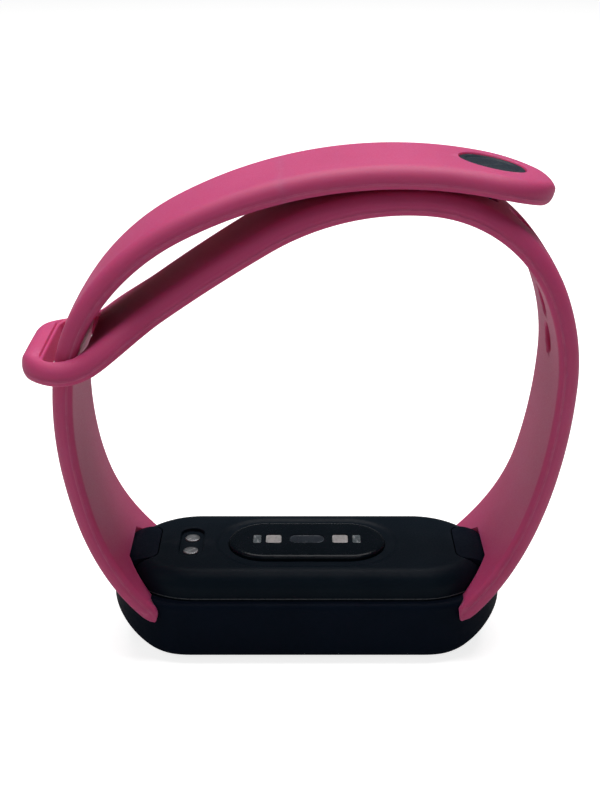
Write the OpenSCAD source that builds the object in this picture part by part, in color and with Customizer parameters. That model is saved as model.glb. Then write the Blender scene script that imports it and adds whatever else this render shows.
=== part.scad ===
// Fitness tracker band: a tracker capsule in a holder frame, closed by a two-piece elastomer band.
// +X runs along the capsule, +Y across the band and +Z from the display glass towards the wrist.
// The origin is the middle of the flat of the glass, which the band stands on.

/* [Capsule] */
// Length of the tracker capsule
cap_l = 47; // [42:0.5:58]
// Width of the tracker capsule
cap_w = 18.6; // [16:0.2:24]
// Height of the capsule's back above the glass
cap_h = 12; // [11.6:0.1:15]
// Wall of the two capsule shells
cap_wall = 1.2; // [0.9:0.05:1.5]
// Radius of the rounded edge of the back
back_edge = 2.4; // [1.2:0.1:3]
// Radius of the rounded edge of the front shell
front_edge = 2; // [1:0.1:3]
// Height of the seam between the front and back shells
seam_z = 6; // [5.5:0.1:7]
// Length of the straight stretch before the underside curves up at each end
flat_l = 28; // [20:1:34]
// Radius of that upward curve, seen from the side
keel_r = 23; // [18:1:40]
// Gap left between pieces that are laid into one another
seat_gap = 0.1; // [0.05:0.01:0.2]

/* [Glass and display] */
// Thickness of the front glass
glass_t = 1.1; // [0.8:0.1:1.4]
// Width of the shell's rim around the glass
glass_rim = 1.2; // [0.8:0.1:2]
// Length of the display panel
panel_l = 32; // [24:1:34]
// Width of the display panel
panel_w = 12.2; // [9:0.2:13]
// Thickness of the display panel
panel_t = 1; // [0.7:0.1:1.1]
// Thickness of the clear adhesive between glass and panel
glue_t = 0.12; // [0.08:0.02:0.2]

/* [Sensor island] */
// Length of the raised sensor lens
lens_l = 20.4; // [18:0.2:22]
// Width of the raised sensor lens
lens_w = 9.8; // [8.6:0.2:11]
// Height that the lens stands above the back
lens_rise = 0.45; // [0.2:0.05:0.8]
// Width of the shallow moat round the lens
moat_w = 2; // [1:0.1:2.4]
// Depth of the moat
moat_d = 0.25; // [0.1:0.05:0.4]
// Length of the middle window over the light source
led_l = 4.6; // [3:0.1:5.2]
// Width of every window
window_w = 2.3; // [1.6:0.1:3]
// Length of the two photodiode windows
diode_l = 2.1; // [1.5:0.1:2.3]
// Distance of the photodiode windows from the middle
diode_x = 4.35; // [4.2:0.05:4.8]
// Length of the two outer windows
side_l = 1.1; // [0.8:0.1:1.3]
// Distance of the outer windows from the middle
side_x = 6.5; // [6.4:0.1:7.4]

/* [Charging contacts] */
// Distance of the contact pocket from the middle
contact_x = 15.1; // [14:0.1:16]
// Spacing of the two contacts
contact_pitch = 3.5; // [3:0.1:4]
// Diameter of a contact's face
contact_d = 1.95; // [1.6:0.05:2.2]
// Depth of the contact pocket
pocket_d = 0.5; // [0.3:0.05:0.6]

/* [Holder] */
// Wall of the holder at its long sides
hold_wall = 1.05; // [0.9:0.05:2]
// Wall of the holder at its ends
hold_end = 1.65; // [1.4:0.05:3]
// Height of the holder's lower edge above the glass
hold_z0 = 0.8; // [0.4:0.1:1.2]
// Height of the holder's rim
rim_z = 8.5; // [7.5:0.1:9.3]
// Running gap between capsule and holder
hold_gap = 0.15; // [0.1:0.01:0.3]
// Width of the retaining tabs
tab_w = 8.8; // [6:0.2:10]
// Length by which each tab reaches over the capsule's end
tab_l = 4.2; // [3:0.1:4.8]
// Thickness of the retaining tabs
tab_t = 1.1; // [0.8:0.1:1.2]
// Radius with which each tab bends over the capsule's end
tab_bend = 3.6; // [2.8:0.1:3.8]
// Radius of the upward curve of the holder's underside, seen from the side
hold_keel_r = 16; // [14:1:30]

/* [Band] */
// Width of the band
band_w = 16; // [14:0.5:18]
// Thickness of the band
band_t = 2.8; // [2.2:0.1:3.4]
// Width of the band where it joins the holder
root_w = 20.6; // [18:0.2:22]
// Length over which the root narrows to the band's width
root_l = 20; // [12:1:26]
// Radius of the band's outer edges
edge_out = 1.2; // [0.6:0.1:1.3]
// Radius of the band's inner edges
edge_in = 0.5; // [0.3:0.1:0.8]
// Diameter of the adjustment holes
hole_d = 3.7; // [3.4:0.1:4.6]
// Distance between adjustment holes
hole_pitch = 5.5; // [5:0.1:8]
// Free play of the band in the end loop's slot, on each side across the band
slot_side = 0.4; // [0.3:0.1:0.8]
// Free play in the slot, before and behind the band's thickness
slot_play = 1.3; // [0.8:0.1:1.8]
// Width of the end loop's side bars
side_bar = 2; // [1.6:0.1:2.6]
// Width of the end loop's end bar
end_bar = 2.7; // [2.2:0.1:3.2]

/* [Stud] */
// Diameter of the stud's disc
disc_d = 8; // [6.5:0.1:9]
// Thickness of the disc
disc_t = 0.8; // [0.6:0.1:1.2]
// Depth of the disc's face below the band's surface
disc_sink = 0.25; // [0.1:0.05:0.4]
// Diameter of the stud's post
post_d = 1.8; // [1.5:0.1:2]
// Diameter of the button on the post
button_d = 2.9; // [2.5:0.1:2.9]
// Thickness of the button
button_t = 1.5; // [1:0.1:1.8]
// Distance of the stud from the band's tip
stud_in = 7.7; // [6:0.1:9]
// Distance of the first fold from the stud
fold_near = 12; // [10:0.5:14]
// Distance of the second fold from the stud
fold_far = 36; // [30:1:40]
// Clearance of the rounded fold ends
fold_gap = 0.15; // [0.1:0.01:0.2]

/* [Vibration motor] */
// Diameter of the motor
motor_d = 7; // [6:0.1:7.4]
// Height of the motor
motor_h = 2.6; // [2.2:0.1:3]
// Diameter of the motor's shaft
shaft_d = 0.8; // [0.6:0.05:1]
// Radial play of the weight on the shaft
shaft_gap = 0.05; // [0.02:0.01:0.08]

/* [Hidden] */
$fn = 48;

eps = 0.01;
big = 80;
cap_c = (cap_l - cap_w) / 2;
hold_l = cap_l + 2 * hold_end + 2 * hold_gap;
hold_w = cap_w + 2 * hold_wall + 2 * hold_gap;
tab_x = cap_l / 2 - tab_l;
tab_z = cap_h - tab_t;

// Heights inside the capsule, from the glass to the back
shell_z0 = 0.45;
seal_t = 0.5;
panel_z = glass_t + glue_t;
deck_z = panel_z + panel_t;
frame_z = deck_z + 1;
frame_t = 0.8;
bay_z = frame_z + frame_t;
roof_low = tab_z - seat_gap - 1;
roof_z = cap_h - 1;
roof_x = tab_x - 1;
inner_l = cap_l - 2 * cap_wall;
inner_w = cap_w - 2 * cap_wall;
lens_seat = cap_h - 0.5;
lens_step = 1;
barrier_t = 0.7;
board_t = 0.5;
board_z = bay_z + 0.2;
board_top = board_z + 0.7;
battery_l = 23.5;
battery_x0 = 5 - battery_l;
battery_h = roof_low - bay_z - 0.9;
tape_t = 0.12;
motor_x = cap_c + inner_w / 2 - seal_t - motor_d / 2 - 0.3;
motor_z = board_top;
flex_t = 0.15;

// The band's two curves start in the holder's ends and are lists of [radius, turn in degrees].
// They grow with the distance between the roots, so that the ring still closes.
root_x = hold_l / 2;
curve_k = root_x / 25.3;
loop_start = [root_x - 5 * curve_k, 5.15, 42, 0];
loop_arcs = [[34.4, 33.5], [66.4, 12.5], [28.4, 25], [19.4, 62.5], [33.4, 35.5], [201, 7], [6.6, -38], [60, -9]];
tail_start = [-root_x + 7.1 * curve_k, 5.15 + 1.92 * curve_k, 139.5, 0];
tail_arcs = [[26.6, -33.5], [44.6, -22.5], [17.6, -26], [27.6, -30], [54.6, -47]];
loop_curve = [for (a = loop_arcs) [a[0] * curve_k, a[1]]];
tail_curve = [for (a = tail_arcs) [a[0] * curve_k, a[1]]];
ring_step = 3;

// ---- curves: a state is [x, z, heading, distance] ----
function arc_len(a) = a[0] * abs(a[1]) * PI / 180;
function advance(p, a, t) =
    let (g = sign(a[1]), h = p[2] + a[1] * t)
    [p[0] + g * a[0] * (sin(h) - sin(p[2])), p[1] - g * a[0] * (cos(h) - cos(p[2])), h, p[3] + arc_len(a) * t];
function along(p, curve, s, i = 0) =
    s <= arc_len(curve[i]) || i == len(curve) - 1
        ? advance(p, curve[i], s / arc_len(curve[i]))
        : along(advance(p, curve[i], 1), curve, s - arc_len(curve[i]), i + 1);
function curve_len(curve, i = 0) = i == len(curve) ? 0 : arc_len(curve[i]) + curve_len(curve, i + 1);
function bisect(f, lo, hi, n = 40) =
    let (m = (lo + hi) / 2)
    n == 0 ? m : (f(m) > 0) == (f(hi) > 0) ? bisect(f, lo, m, n - 1) : bisect(f, m, hi, n - 1);
function smooth(t) = t <= 0 ? 0 : t >= 1 ? 1 : t * t * (3 - 2 * t);
// Shortening of a side at distance e from an end that is rounded with radius r
function round_off(e, r) = e >= r ? 0 : r - sqrt(max(r * r - (r - e) * (r - e), 0));

function loop_at(s) = along(loop_start, loop_curve, s);
function tail_at(s) = along(tail_start, tail_curve, s);
// Middle of the tail's thickness, which lies outside its inner face
function tail_mid(s) = let (p = tail_at(s)) [p[0] - sin(p[2]) * band_t / 2, p[1] + cos(p[2]) * band_t / 2, p[2]];

tail_l = curve_len(tail_curve);
stud_s = tail_l - stud_in;
stud_p = tail_mid(stud_s);
near_p = tail_mid(stud_s - fold_near);
far_p = tail_mid(stud_s - fold_far);
// The engaged hole is where the stud's axis crosses the loop strap
engaged_s = bisect(
    function(s) let (p = loop_at(s)) (p[0] - stud_p[0]) * cos(stud_p[2]) + (p[1] - stud_p[1]) * sin(stud_p[2]),
    45 * curve_k, 75 * curve_k);
engaged_p = loop_at(engaged_s);
stud_drop = norm([engaged_p[0] - stud_p[0], engaged_p[1] - stud_p[1]]);
hole_first = -4;
hole_last = 2;
// The slot lies where the tail passes through the end loop
cross_z = loop_at(curve_len(loop_curve) - 6 * curve_k)[1] - band_t / 2;
cross_x = tail_mid(bisect(function(s) tail_at(s)[1] - cross_z, 10 * curve_k, 50 * curve_k))[0];
slot_x0 = cross_x - band_t / 2 - slot_play;
slot_x1 = cross_x + band_t / 2 + slot_play;
slot_w = band_w + 2 * slot_side;
loop_w = slot_w + 2 * side_bar;
loop_l = bisect(
    function(s) slot_x0 - end_bar - loop_at(s)[0], curve_len(loop_curve) - 16 * curve_k, curve_len(loop_curve) + 6);
flare_s = loop_l - 18;
flare_l = 9;
loop_corner = 2.6;
loop_bull = 1.3;
tip_r = 6.5;
tip_bull = 1.1;
tongue_bull = 1.4;

// ---- shapes ----
// Half outline of a rounded edge: radius rb below and rt above
module half_profile(r, z0, z1, rb, rt) {
    translate([0, z0 + rb]) square([r, z1 - z0 - rb - rt]);
    if (rb > 0) {
        translate([0, z0]) square([r - rb, rb]);
        intersection() {
            translate([r - rb, z0 + rb]) circle(rb);
            translate([r - rb, z0]) square(rb);
        }
    }
    if (rt > 0) {
        translate([0, z1 - rt]) square([r - rt, rt]);
        intersection() {
            translate([r - rt, z1 - rt]) circle(rt);
            translate([r - rt, z1 - rt]) square(rt);
        }
    }
}
// Stadium block with rounded edges, length l and width w
module pill(l, w, z0, z1, rb = 0, rt = 0) {
    c = (l - w) / 2;
    for (m = [0, 1]) mirror([m, 0, 0])
        translate([c, 0, 0]) rotate([0, 0, -90]) rotate_extrude(angle = 180) half_profile(w / 2, z0, z1, rb, rt);
    rotate([90, 0, 90]) linear_extrude(2 * c, center = true)
        for (m = [0, 1]) mirror([m, 0]) half_profile(w / 2, z0, z1, rb, rt);
}
// What is cut away under each end, so that an underside at height z0 curves upwards like a keel
module keel_cut(z0, r = keel_r) {
    both_ends() rotate([90, 0, 0]) linear_extrude(big, center = true) difference() {
        translate([flat_l / 2, z0 - 5]) square([big / 2, 5 + r]);
        translate([flat_l / 2, z0 + r]) circle(r, $fn = 96);
    }
}
// Block with rounded upright corners, centred on the origin in plan
module slab(l, w, z0, z1, r) {
    translate([0, 0, z0]) linear_extrude(z1 - z0) {
        square([l - 2 * r, w], center = true);
        square([l, w - 2 * r], center = true);
        for (x = [-1, 1], y = [-1, 1]) translate([x * (l / 2 - r), y * (w / 2 - r)]) circle(r);
    }
}
// Copies of its children at both ends of the capsule
module both_ends() for (m = [0, 1]) mirror([m, 0, 0]) children();

// Cross-section of the band: half width w, thickness from d0 (inner face) to d1 (outer face)
function section(w, d0, d1, k) =
    let (ro = min(edge_out * k, w), ri = min(edge_in * k, w))
    concat(
        [for (a = [0:30:90]) [w - ro + ro * cos(a), d1 - ro + ro * sin(a)]],
        [for (a = [90:30:180]) [-w + ro + ro * cos(a), d1 - ro + ro * sin(a)]],
        [for (a = [180:45:270]) [-w + ri + ri * cos(a), d0 + ri + ri * sin(a)]],
        [for (a = [270:45:360]) [w - ri + ri * cos(a), d0 + ri + ri * sin(a)]]);
// Solid through rings of equal length; the ends are flat
module loft(rings) {
    n = len(rings[0]);
    last = len(rings) - 1;
    polyhedron(
        points = [for (r = rings) each r],
        faces = concat(
            [[for (j = [0:n - 1]) j]],
            [for (i = [0:last - 1], j = [0:n - 1]) each
                let (a = i * n + j, b = i * n + (j + 1) % n)
                [[a, a + n, b], [b, a + n, b + n]]],
            [[for (j = [n - 1:-1:0]) last * n + j]]));
}
// Point of a section placed on a curve: side is 1 when the outer face is on the right
function place(p, side, q) = [p[0] + side * sin(p[2]) * q[1], side * q[0], p[1] - side * cos(p[2]) * q[1]];

function root_half(s) = band_w / 2 + (root_w - band_w) / 2 * (1 - smooth(s / root_l));
// Thickness of the band as a share of the full thickness, at s from the root and e from the far end
function fullness(s, e, bull) = 1 - round_off(s, tongue_bull) / tongue_bull - round_off(e, bull) / bull;
function stations(l, fine) = concat(
    [0.02, 0.15, 0.4, 0.8], [for (s = [tongue_bull:ring_step:l - fine[0] - ring_step / 2]) s], [for (e = fine) l - e]);

module loop_sweep() {
    fine = [loop_corner, 1.9, loop_bull, 0.8, 0.4, 0.15, 0.02];
    loft([for (s = stations(loop_l, fine))
        let (e = loop_l - s, k = fullness(s, e, loop_bull),
             w = root_half(s) + (loop_w - band_w) / 2 * smooth((s - flare_s) / flare_l) - round_off(e, loop_corner),
             h = band_t / 2 * k)
        [for (q = section(w, -band_t / 2 - h, -band_t / 2 + h, k)) place(loop_at(s), 1, q)]]);
}
module tail_sweep() {
    fine = [tip_r, 5.2, 4, 2.9, 1.9, tip_bull, 0.6, 0.25, 0.02];
    loft([for (s = stations(tail_l, fine))
        let (e = tail_l - s, k = fullness(s, e, tip_bull),
             w = root_half(s) - round_off(e, tip_r), h = band_t / 2 * k)
        [for (q = section(w, band_t / 2 - h, band_t / 2 + h, k)) place(tail_at(s), -1, q)]]);
}
// Children's +Z becomes the outward normal of the band at a state
module on_loop(p) translate([p[0], 0, p[1]]) rotate([0, 180 - p[2], 0]) children();
module on_tail(p) translate([p[0], 0, p[1]]) rotate([0, -p[2], 0]) children();
// Upright cylinder across the band at a fold
module fold_pin(p, r) translate([p[0], 0, p[1]]) rotate([90, 0, 0]) cylinder(h = band_w + 6, r = r, center = true);
// The side of a fold that the band's tip is on
module beyond(p) on_tail(p) translate([0, -big / 2, -big / 2]) cube(big);

// ---- holder ----
module holder_body() {
    difference() {
        union() {
            pill(hold_l, hold_w, hold_z0, rim_z, 1.2, 0.8);
            intersection() {
                pill(hold_l, hold_w, hold_z0, cap_h, 1.2, tab_bend);
                both_ends() translate([tab_x + hold_l / 2, 0, 0]) slab(hold_l, tab_w, rim_z - 2, cap_h + 1, 1.5);
            }
        }
        keel_cut(hold_z0, hold_keel_r);
    }
}
module capsule_space(z1) pill(cap_l + 2 * hold_gap, cap_w + 2 * hold_gap, -1, z1);
module holder_frame() {
    color("#0b1a2b") difference() {
        holder_body();
        capsule_space(tab_z);
    }
}
module root_cut() {
    holder_body();
    capsule_space(cap_h + hold_gap);
}

// ---- band ----
module loop_strap() {
    color("#c76f96") difference() {
        loop_sweep();
        root_cut();
        for (i = [hole_first:hole_last]) if (i != 0) on_loop(loop_at(engaged_s + i * hole_pitch))
            cylinder(h = 4 * band_t, d = hole_d, center = true);
        on_tail(stud_p) translate([0, 0, -stud_drop - 2 * band_t]) cylinder(h = 2.6 * band_t, d = hole_d);
        translate([slot_x0, -slot_w / 2, cross_z - 8]) cube([slot_x1 - slot_x0, slot_w, 20]);
    }
}
module stud_strap_base() {
    color("#c76f96") difference() {
        tail_sweep();
        root_cut();
        beyond(far_p);
        fold_pin(far_p, band_t / 2 + fold_gap);
    }
}
module stud_strap_mid() {
    color("#c76f96") difference() {
        intersection() {
            tail_sweep();
            union() {
                beyond(far_p);
                fold_pin(far_p, band_t / 2 - 0.05);
            }
        }
        beyond(near_p);
        fold_pin(near_p, band_t / 2 + fold_gap);
    }
}
module stud_strap_tip() {
    color("#c76f96") difference() {
        intersection() {
            tail_sweep();
            union() {
                beyond(near_p);
                fold_pin(near_p, band_t / 2 - 0.05);
            }
        }
        on_tail(stud_p) {
            translate([0, 0, band_t / 2 - disc_t - disc_sink]) cylinder(h = big, d = disc_d + 2 * seat_gap);
            cylinder(h = 4 * band_t, d = post_d, center = true);
        }
    }
}
button_z = -stud_drop - band_t / 2 - button_t / 2;
module stud_cap() {
    color("#323a42") on_tail(stud_p) {
        translate([0, 0, band_t / 2 - disc_t - disc_sink]) cylinder(h = disc_t, d = disc_d);
        translate([0, 0, button_z]) cylinder(h = band_t / 2 - disc_t - disc_sink - button_z, d = post_d);
    }
}
module stud_button() {
    color("#59626b") on_tail(stud_p) translate([0, 0, button_z]) difference() {
        rotate_extrude() half_profile(button_d / 2, 0, button_t, 0.4, 0.4);
        cylinder(h = 4 * button_t, d = post_d, center = true);
    }
}

// ---- front of the capsule ----
module glass_outline(grow, z0, z1, rb = 0) {
    pill(cap_l - 2 * glass_rim + 2 * grow, cap_w - 2 * glass_rim + 2 * grow, z0, z1, rb);
}
module front_glass() {
    color("#101418") difference() {
        glass_outline(0, 0, glass_t, 0.6);
        keel_cut(0);
    }
}
module optical_adhesive() color("#dfe8ee") slab(panel_l, panel_w, glass_t, panel_z, 1);
module display_panel() color("#1b1f2a") slab(panel_l, panel_w, panel_z, panel_z + panel_t, 1);
module front_case() {
    color("#0d141c") difference() {
        pill(cap_l, cap_w, shell_z0, seam_z, front_edge);
        keel_cut(shell_z0);
        glass_outline(seat_gap, -1, glass_t);
        slab(panel_l + 1, panel_w + 1, 0, deck_z + 1, 1.2);
        pill(inner_l, inner_w, deck_z, seam_z + 1);
    }
}
module case_seal() {
    color("#3c4046") difference() {
        pill(inner_l, inner_w, seam_z - 0.6, seam_z + 0.6);
        pill(inner_l - 2 * seal_t, inner_w - 2 * seal_t, seam_z - 1, seam_z + 1);
    }
}

// ---- back of the capsule ----
module lens_shape(grow, z0, z1, rt = 0) pill(lens_l + 2 * grow, lens_w + 2 * grow, z0, z1, 0, rt);
module at_contacts() translate([-contact_x, 0, 0]) for (y = [-1, 1]) translate([0, y * contact_pitch / 2, 0]) children();
pin_stem = contact_d - 0.6;
module back_cover() {
    color("#0f1c28") difference() {
        pill(cap_l, cap_w, seam_z, cap_h, 0, back_edge);
        pill(inner_l, inner_w, seam_z - 1, roof_low);
        slab(2 * roof_x, inner_w - 1, roof_low - 1, roof_z, 2);
        both_ends() translate([tab_x + hold_l / 2 - hold_gap, 0, 0])
            slab(hold_l, tab_w + 2 * hold_gap, tab_z - hold_gap, cap_h + 1, 1.5 + hold_gap);
        difference() {
            lens_shape(moat_w, cap_h - moat_d, cap_h + 1);
            lens_shape(seat_gap, cap_h - 2, cap_h + 2);
        }
        lens_shape(seat_gap, lens_seat, cap_h + 1);
        lens_shape(seat_gap - lens_step, roof_z - 1, cap_h + 1);
        translate([-contact_x, 0, 0]) rotate([0, 0, 90])
            pill(contact_pitch + contact_d + 2.4, contact_d + 1.1, cap_h - pocket_d, cap_h + 1);
        at_contacts() cylinder(h = 3 * cap_h, d = pin_stem);
    }
}
// The windows: pieces drawn at [place, length] along the lens
module windows_at(places, grow, z0, z1) {
    for (p = places) translate([p[0], 0, 0]) slab(p[1] + 2 * grow, window_w + 2 * grow, z0, z1, 0.35);
}
led_places = [[0, led_l]];
diode_places = [[-diode_x, diode_l], [diode_x, diode_l]];
side_places = [[-side_x, side_l], [side_x, side_l]];
all_places = concat(led_places, diode_places, side_places);
lens_top = cap_h + lens_rise;
module sensor_lens() {
    color("#0a0e12") difference() {
        union() {
            lens_shape(0, lens_seat, lens_top, 0.35);
            lens_shape(-lens_step, roof_z, lens_seat + eps);
        }
        windows_at(all_places, 0, 0, big);
    }
}
window_sink = 0.04;
module led_window() color("#2b3138") windows_at(led_places, 0, roof_z, lens_top - window_sink);
module photodiode_windows() color("#c9ccd0") windows_at(diode_places, 0, roof_z, lens_top - window_sink);
module side_windows() color("#6f7880") windows_at(side_places, 0, roof_z, lens_top - window_sink);
barrier_z = roof_z - barrier_t;
module light_barrier() {
    color("#15181c") difference() {
        slab(lens_l - 3, lens_w - 3, barrier_z, roof_z, 1.5);
        windows_at(all_places, 0, barrier_z - 1, roof_z + 1);
    }
}
module sensor_board() color("#1e5a3a") slab(lens_l - 1.4, lens_w - 1.4, barrier_z - board_t, barrier_z, 2);
module sensor_leds() {
    color("#b9e3b0") for (x = [-1, 1]) translate([x * led_l / 4, 0, barrier_z]) linear_extrude(0.45)
        square([1.2, 1.4], center = true);
}
module photodiodes() {
    color("#3a3f4a") for (x = [-1, 1]) translate([x * diode_x, 0, barrier_z]) linear_extrude(0.4)
        square([diode_l - 0.5, window_w - 0.5], center = true);
}
flex_x = lens_l / 2 + 2.4;
module sensor_flex() {
    z1 = barrier_z - board_t;
    color("#c77f2a") {
        translate([lens_l / 2 - 4, -1.5, z1 - flex_t]) cube([flex_x - lens_l / 2 + 4, 3, flex_t]);
        translate([flex_x - flex_t, -1.5, board_top]) cube([flex_t, 3, z1 - board_top]);
    }
}
module contact_pins() {
    color("#cfd2d4") at_contacts() {
        translate([0, 0, cap_h - pocket_d]) cylinder(h = 0.2, d = contact_d);
        translate([0, 0, roof_low - 0.6]) cylinder(h = cap_h - pocket_d - roof_low + 0.6, d = pin_stem);
    }
}
contact_board_t = 0.4;
module contact_board() {
    color("#1e5a3a") translate([-contact_x, 0, 0]) difference() {
        slab(3.2, contact_pitch + contact_d + 1.4, roof_z - 0.6 - contact_board_t, roof_z - 0.6, 0.5);
        translate([contact_x, 0, 0]) at_contacts() cylinder(h = big, d = pin_stem);
    }
}
module contact_flex() {
    z1 = roof_z - 0.6 - contact_board_t;
    color("#c77f2a") {
        translate([-contact_x + 1.1, -1, z1 - flex_t]) cube([0.5, 2, flex_t]);
        translate([-contact_x + 1.6 - flex_t, -1, roof_low - 0.4 - flex_t]) cube([flex_t, 2, z1 - roof_low + 0.4]);
        translate([-contact_x + 1.6, -1, roof_low - 0.4 - flex_t]) cube([contact_x + 4.2, 2, flex_t]);
        translate([5.8, -1, board_top]) cube([flex_t, 2, roof_low - 0.4 - board_top]);
    }
}

// ---- inside the capsule ----
module inner_frame() {
    color("#2a2e33") difference() {
        pill(inner_l - 2 * seat_gap, inner_w - 2 * seat_gap, frame_z, bay_z);
        translate([panel_l / 2 + 2.6, 0, 0]) slab(1.6, 8, frame_z - 1, bay_z + 1, 0.4);
    }
}
module battery() {
    color("#9aa0a6") translate([battery_x0 + battery_l / 2, 0, 0])
        slab(battery_l, inner_w - 4, bay_z + tape_t, bay_z + tape_t + battery_h, 2.5);
}
module battery_tape() {
    color("#e8e8e4") translate([battery_x0 + battery_l / 2, 0, 0]) slab(battery_l - 5, 8, bay_z, bay_z + tape_t, 0.5);
}
module main_board() {
    color("#17643c") difference() {
        intersection() {
            pill(inner_l - 0.8, inner_w - 0.8, board_z, board_top);
            translate([battery_x0 + battery_l + 0.4, -big / 2, 0]) cube(big);
        }
        translate([panel_l / 2 + 2.6, 0, 0]) slab(1.8, 8.2, board_z - 1, board_top + 1, 0.4);
    }
    color("#17643c") for (y = [-1, 1]) translate([8, y * 5.5, bay_z]) cylinder(h = board_z - bay_z + eps, d = 1.2);
}
chip_x = 9.3;
module board_chips() {
    color("#22252a") for (c = [[chip_x - 0.6, 2, 3], [chip_x, -2.2, 2.6]]) translate([c[0], c[1], board_top])
        linear_extrude(0.8) square([c[2], 3], center = true);
}
module shield_can() {
    color("#b8bcc0") translate([chip_x, 0, 0]) difference() {
        slab(5.4, 9.6, board_top, board_top + 1.3, 0.5);
        slab(5, 9.2, board_top - 1, board_top + 1.1, 0.4);
    }
}
module antenna_strip() {
    color("#c98a3a") translate([-cap_c, 0, 0]) rotate([0, 0, 110]) rotate_extrude(angle = 140)
        translate([inner_w / 2 - 0.3, seam_z + 0.8]) square([0.15, 1.6]);
}
module display_flex() {
    z0 = panel_z + panel_t;
    z1 = board_top;
    bend_x = panel_l / 2 + 2.6;
    color("#c77f2a") {
        translate([panel_l / 2 - 2, -3, z0]) cube([4.6, 6, flex_t]);
        translate([bend_x - flex_t, -3, z0]) cube([flex_t, 6, z1 - z0 + flex_t]);
        translate([bend_x - 1.6, -3, z1]) cube([1.6 + max(0, motor_x - bend_x), 6, flex_t]);
    }
}

// ---- vibration motor ----
motor_base_t = 0.3;
module at_motor(z = 0) translate([motor_x, 0, motor_z + flex_t + z]) children();
module motor_base() color("#8f959b") at_motor() cylinder(h = motor_base_t, d = motor_d - 0.5);
module motor_can() {
    color("#b4b8bc") at_motor() difference() {
        cylinder(h = motor_h, d = motor_d);
        translate([0, 0, -1]) cylinder(h = motor_h + 0.8, d = motor_d - 0.5);
    }
}
module motor_magnet() {
    color("#4a4d52") at_motor(motor_base_t) difference() {
        cylinder(h = 0.5, d = 4.6);
        translate([0, 0, -1]) cylinder(h = 3, d = 2);
    }
}
module motor_shaft() color("#d6d8da") at_motor(motor_base_t) cylinder(h = motor_h - 0.2 - motor_base_t, d = shaft_d);
module motor_weight() {
    color("#6e6248") at_motor(1.1) difference() {
        union() {
            cylinder(h = 0.9, d = 2.2);
            intersection() {
                cylinder(h = 0.9, d = motor_d - 1.3);
                translate([0, -motor_d / 2, 0]) cube([motor_d / 2, motor_d, 0.9]);
            }
        }
        translate([0, 0, -1]) cylinder(h = 3, d = shaft_d + 2 * shaft_gap);
    }
}

holder_frame();
loop_strap();
stud_strap_base();
stud_strap_mid();
stud_strap_tip();
stud_cap();
stud_button();
front_glass();
optical_adhesive();
display_panel();
display_flex();
front_case();
case_seal();
back_cover();
sensor_lens();
led_window();
photodiode_windows();
side_windows();
light_barrier();
sensor_board();
sensor_leds();
photodiodes();
sensor_flex();
contact_pins();
contact_board();
contact_flex();
inner_frame();
battery();
battery_tape();
main_board();
board_chips();
shield_can();
antenna_strip();
motor_can();
motor_base();
motor_magnet();
motor_shaft();
motor_weight();
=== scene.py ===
"""Looks of a fitness tracker band: a tracker capsule held in a frame and closed by two elastomer straps.

Everything stands in the frame's own place and metres. The straps, the stud, the back of the capsule with
its lens, windows and contacts are modelled here. The holder, the front of the capsule and the pieces
inside it keep their CAD shape and get their finish here.
"""

import logging
import math
from dataclasses import dataclass, field
from enum import Enum
from functools import cached_property
from typing import Callable, Iterable, Sequence

import bmesh
import bpy
from mathutils import Matrix, Vector


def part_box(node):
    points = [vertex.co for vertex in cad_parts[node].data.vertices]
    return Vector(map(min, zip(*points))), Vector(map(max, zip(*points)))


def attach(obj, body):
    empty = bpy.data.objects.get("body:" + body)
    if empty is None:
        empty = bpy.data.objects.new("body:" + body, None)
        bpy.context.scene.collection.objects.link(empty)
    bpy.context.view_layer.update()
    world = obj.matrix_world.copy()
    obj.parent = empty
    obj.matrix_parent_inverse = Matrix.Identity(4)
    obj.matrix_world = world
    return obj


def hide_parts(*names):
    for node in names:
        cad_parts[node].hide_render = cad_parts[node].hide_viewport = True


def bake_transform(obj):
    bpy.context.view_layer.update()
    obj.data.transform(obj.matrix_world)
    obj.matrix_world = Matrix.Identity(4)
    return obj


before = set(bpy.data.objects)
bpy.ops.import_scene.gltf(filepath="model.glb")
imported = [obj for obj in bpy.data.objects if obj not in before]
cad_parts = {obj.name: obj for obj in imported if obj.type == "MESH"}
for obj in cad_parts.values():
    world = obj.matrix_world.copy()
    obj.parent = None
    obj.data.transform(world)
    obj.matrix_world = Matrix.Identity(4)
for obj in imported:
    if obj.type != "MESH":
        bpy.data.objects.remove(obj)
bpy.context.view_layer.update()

log = logging.getLogger("tracker_band")

MM = 0.001
# Points closer than this, in metres, are the same point
SAME_POINT = 2e-6
# A cutter's lip stands this much above the face that it cuts, in mm, so that the two never coincide
LIP_LIFT = 0.013
# Straps are swept from and to this far inside their ends, in mm
END_MARGIN = 0.02
# Least share of the thickness that is left at a strap's rounded end
THINNEST = 0.04
# Edges of the CAD pieces sharper than this stay crisp, in degrees
CRISP = 32.0

Point = tuple[float, float, float]
Flat = tuple[float, float]
Color = tuple[float, float, float]


# ---------------------------------------------------------------- small maths


def smooth(t: float) -> float:
    """Smooth step from 0 to 1 as t goes from 0 to 1."""
    t = min(max(t, 0.0), 1.0)
    return t * t * (3 - 2 * t)


def round_off(distance: float, radius: float) -> float:
    """How much a side is shortened at a distance from an end that is rounded.

    Args:
        distance: Distance from the end, in mm.
        radius: Radius of the rounding, in mm.

    Returns:
        The shortening in mm, 0 beyond the rounding.
    """
    if distance >= radius:
        return 0.0
    return radius - math.sqrt(max(radius**2 - (radius - distance) ** 2, 0.0))


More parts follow.
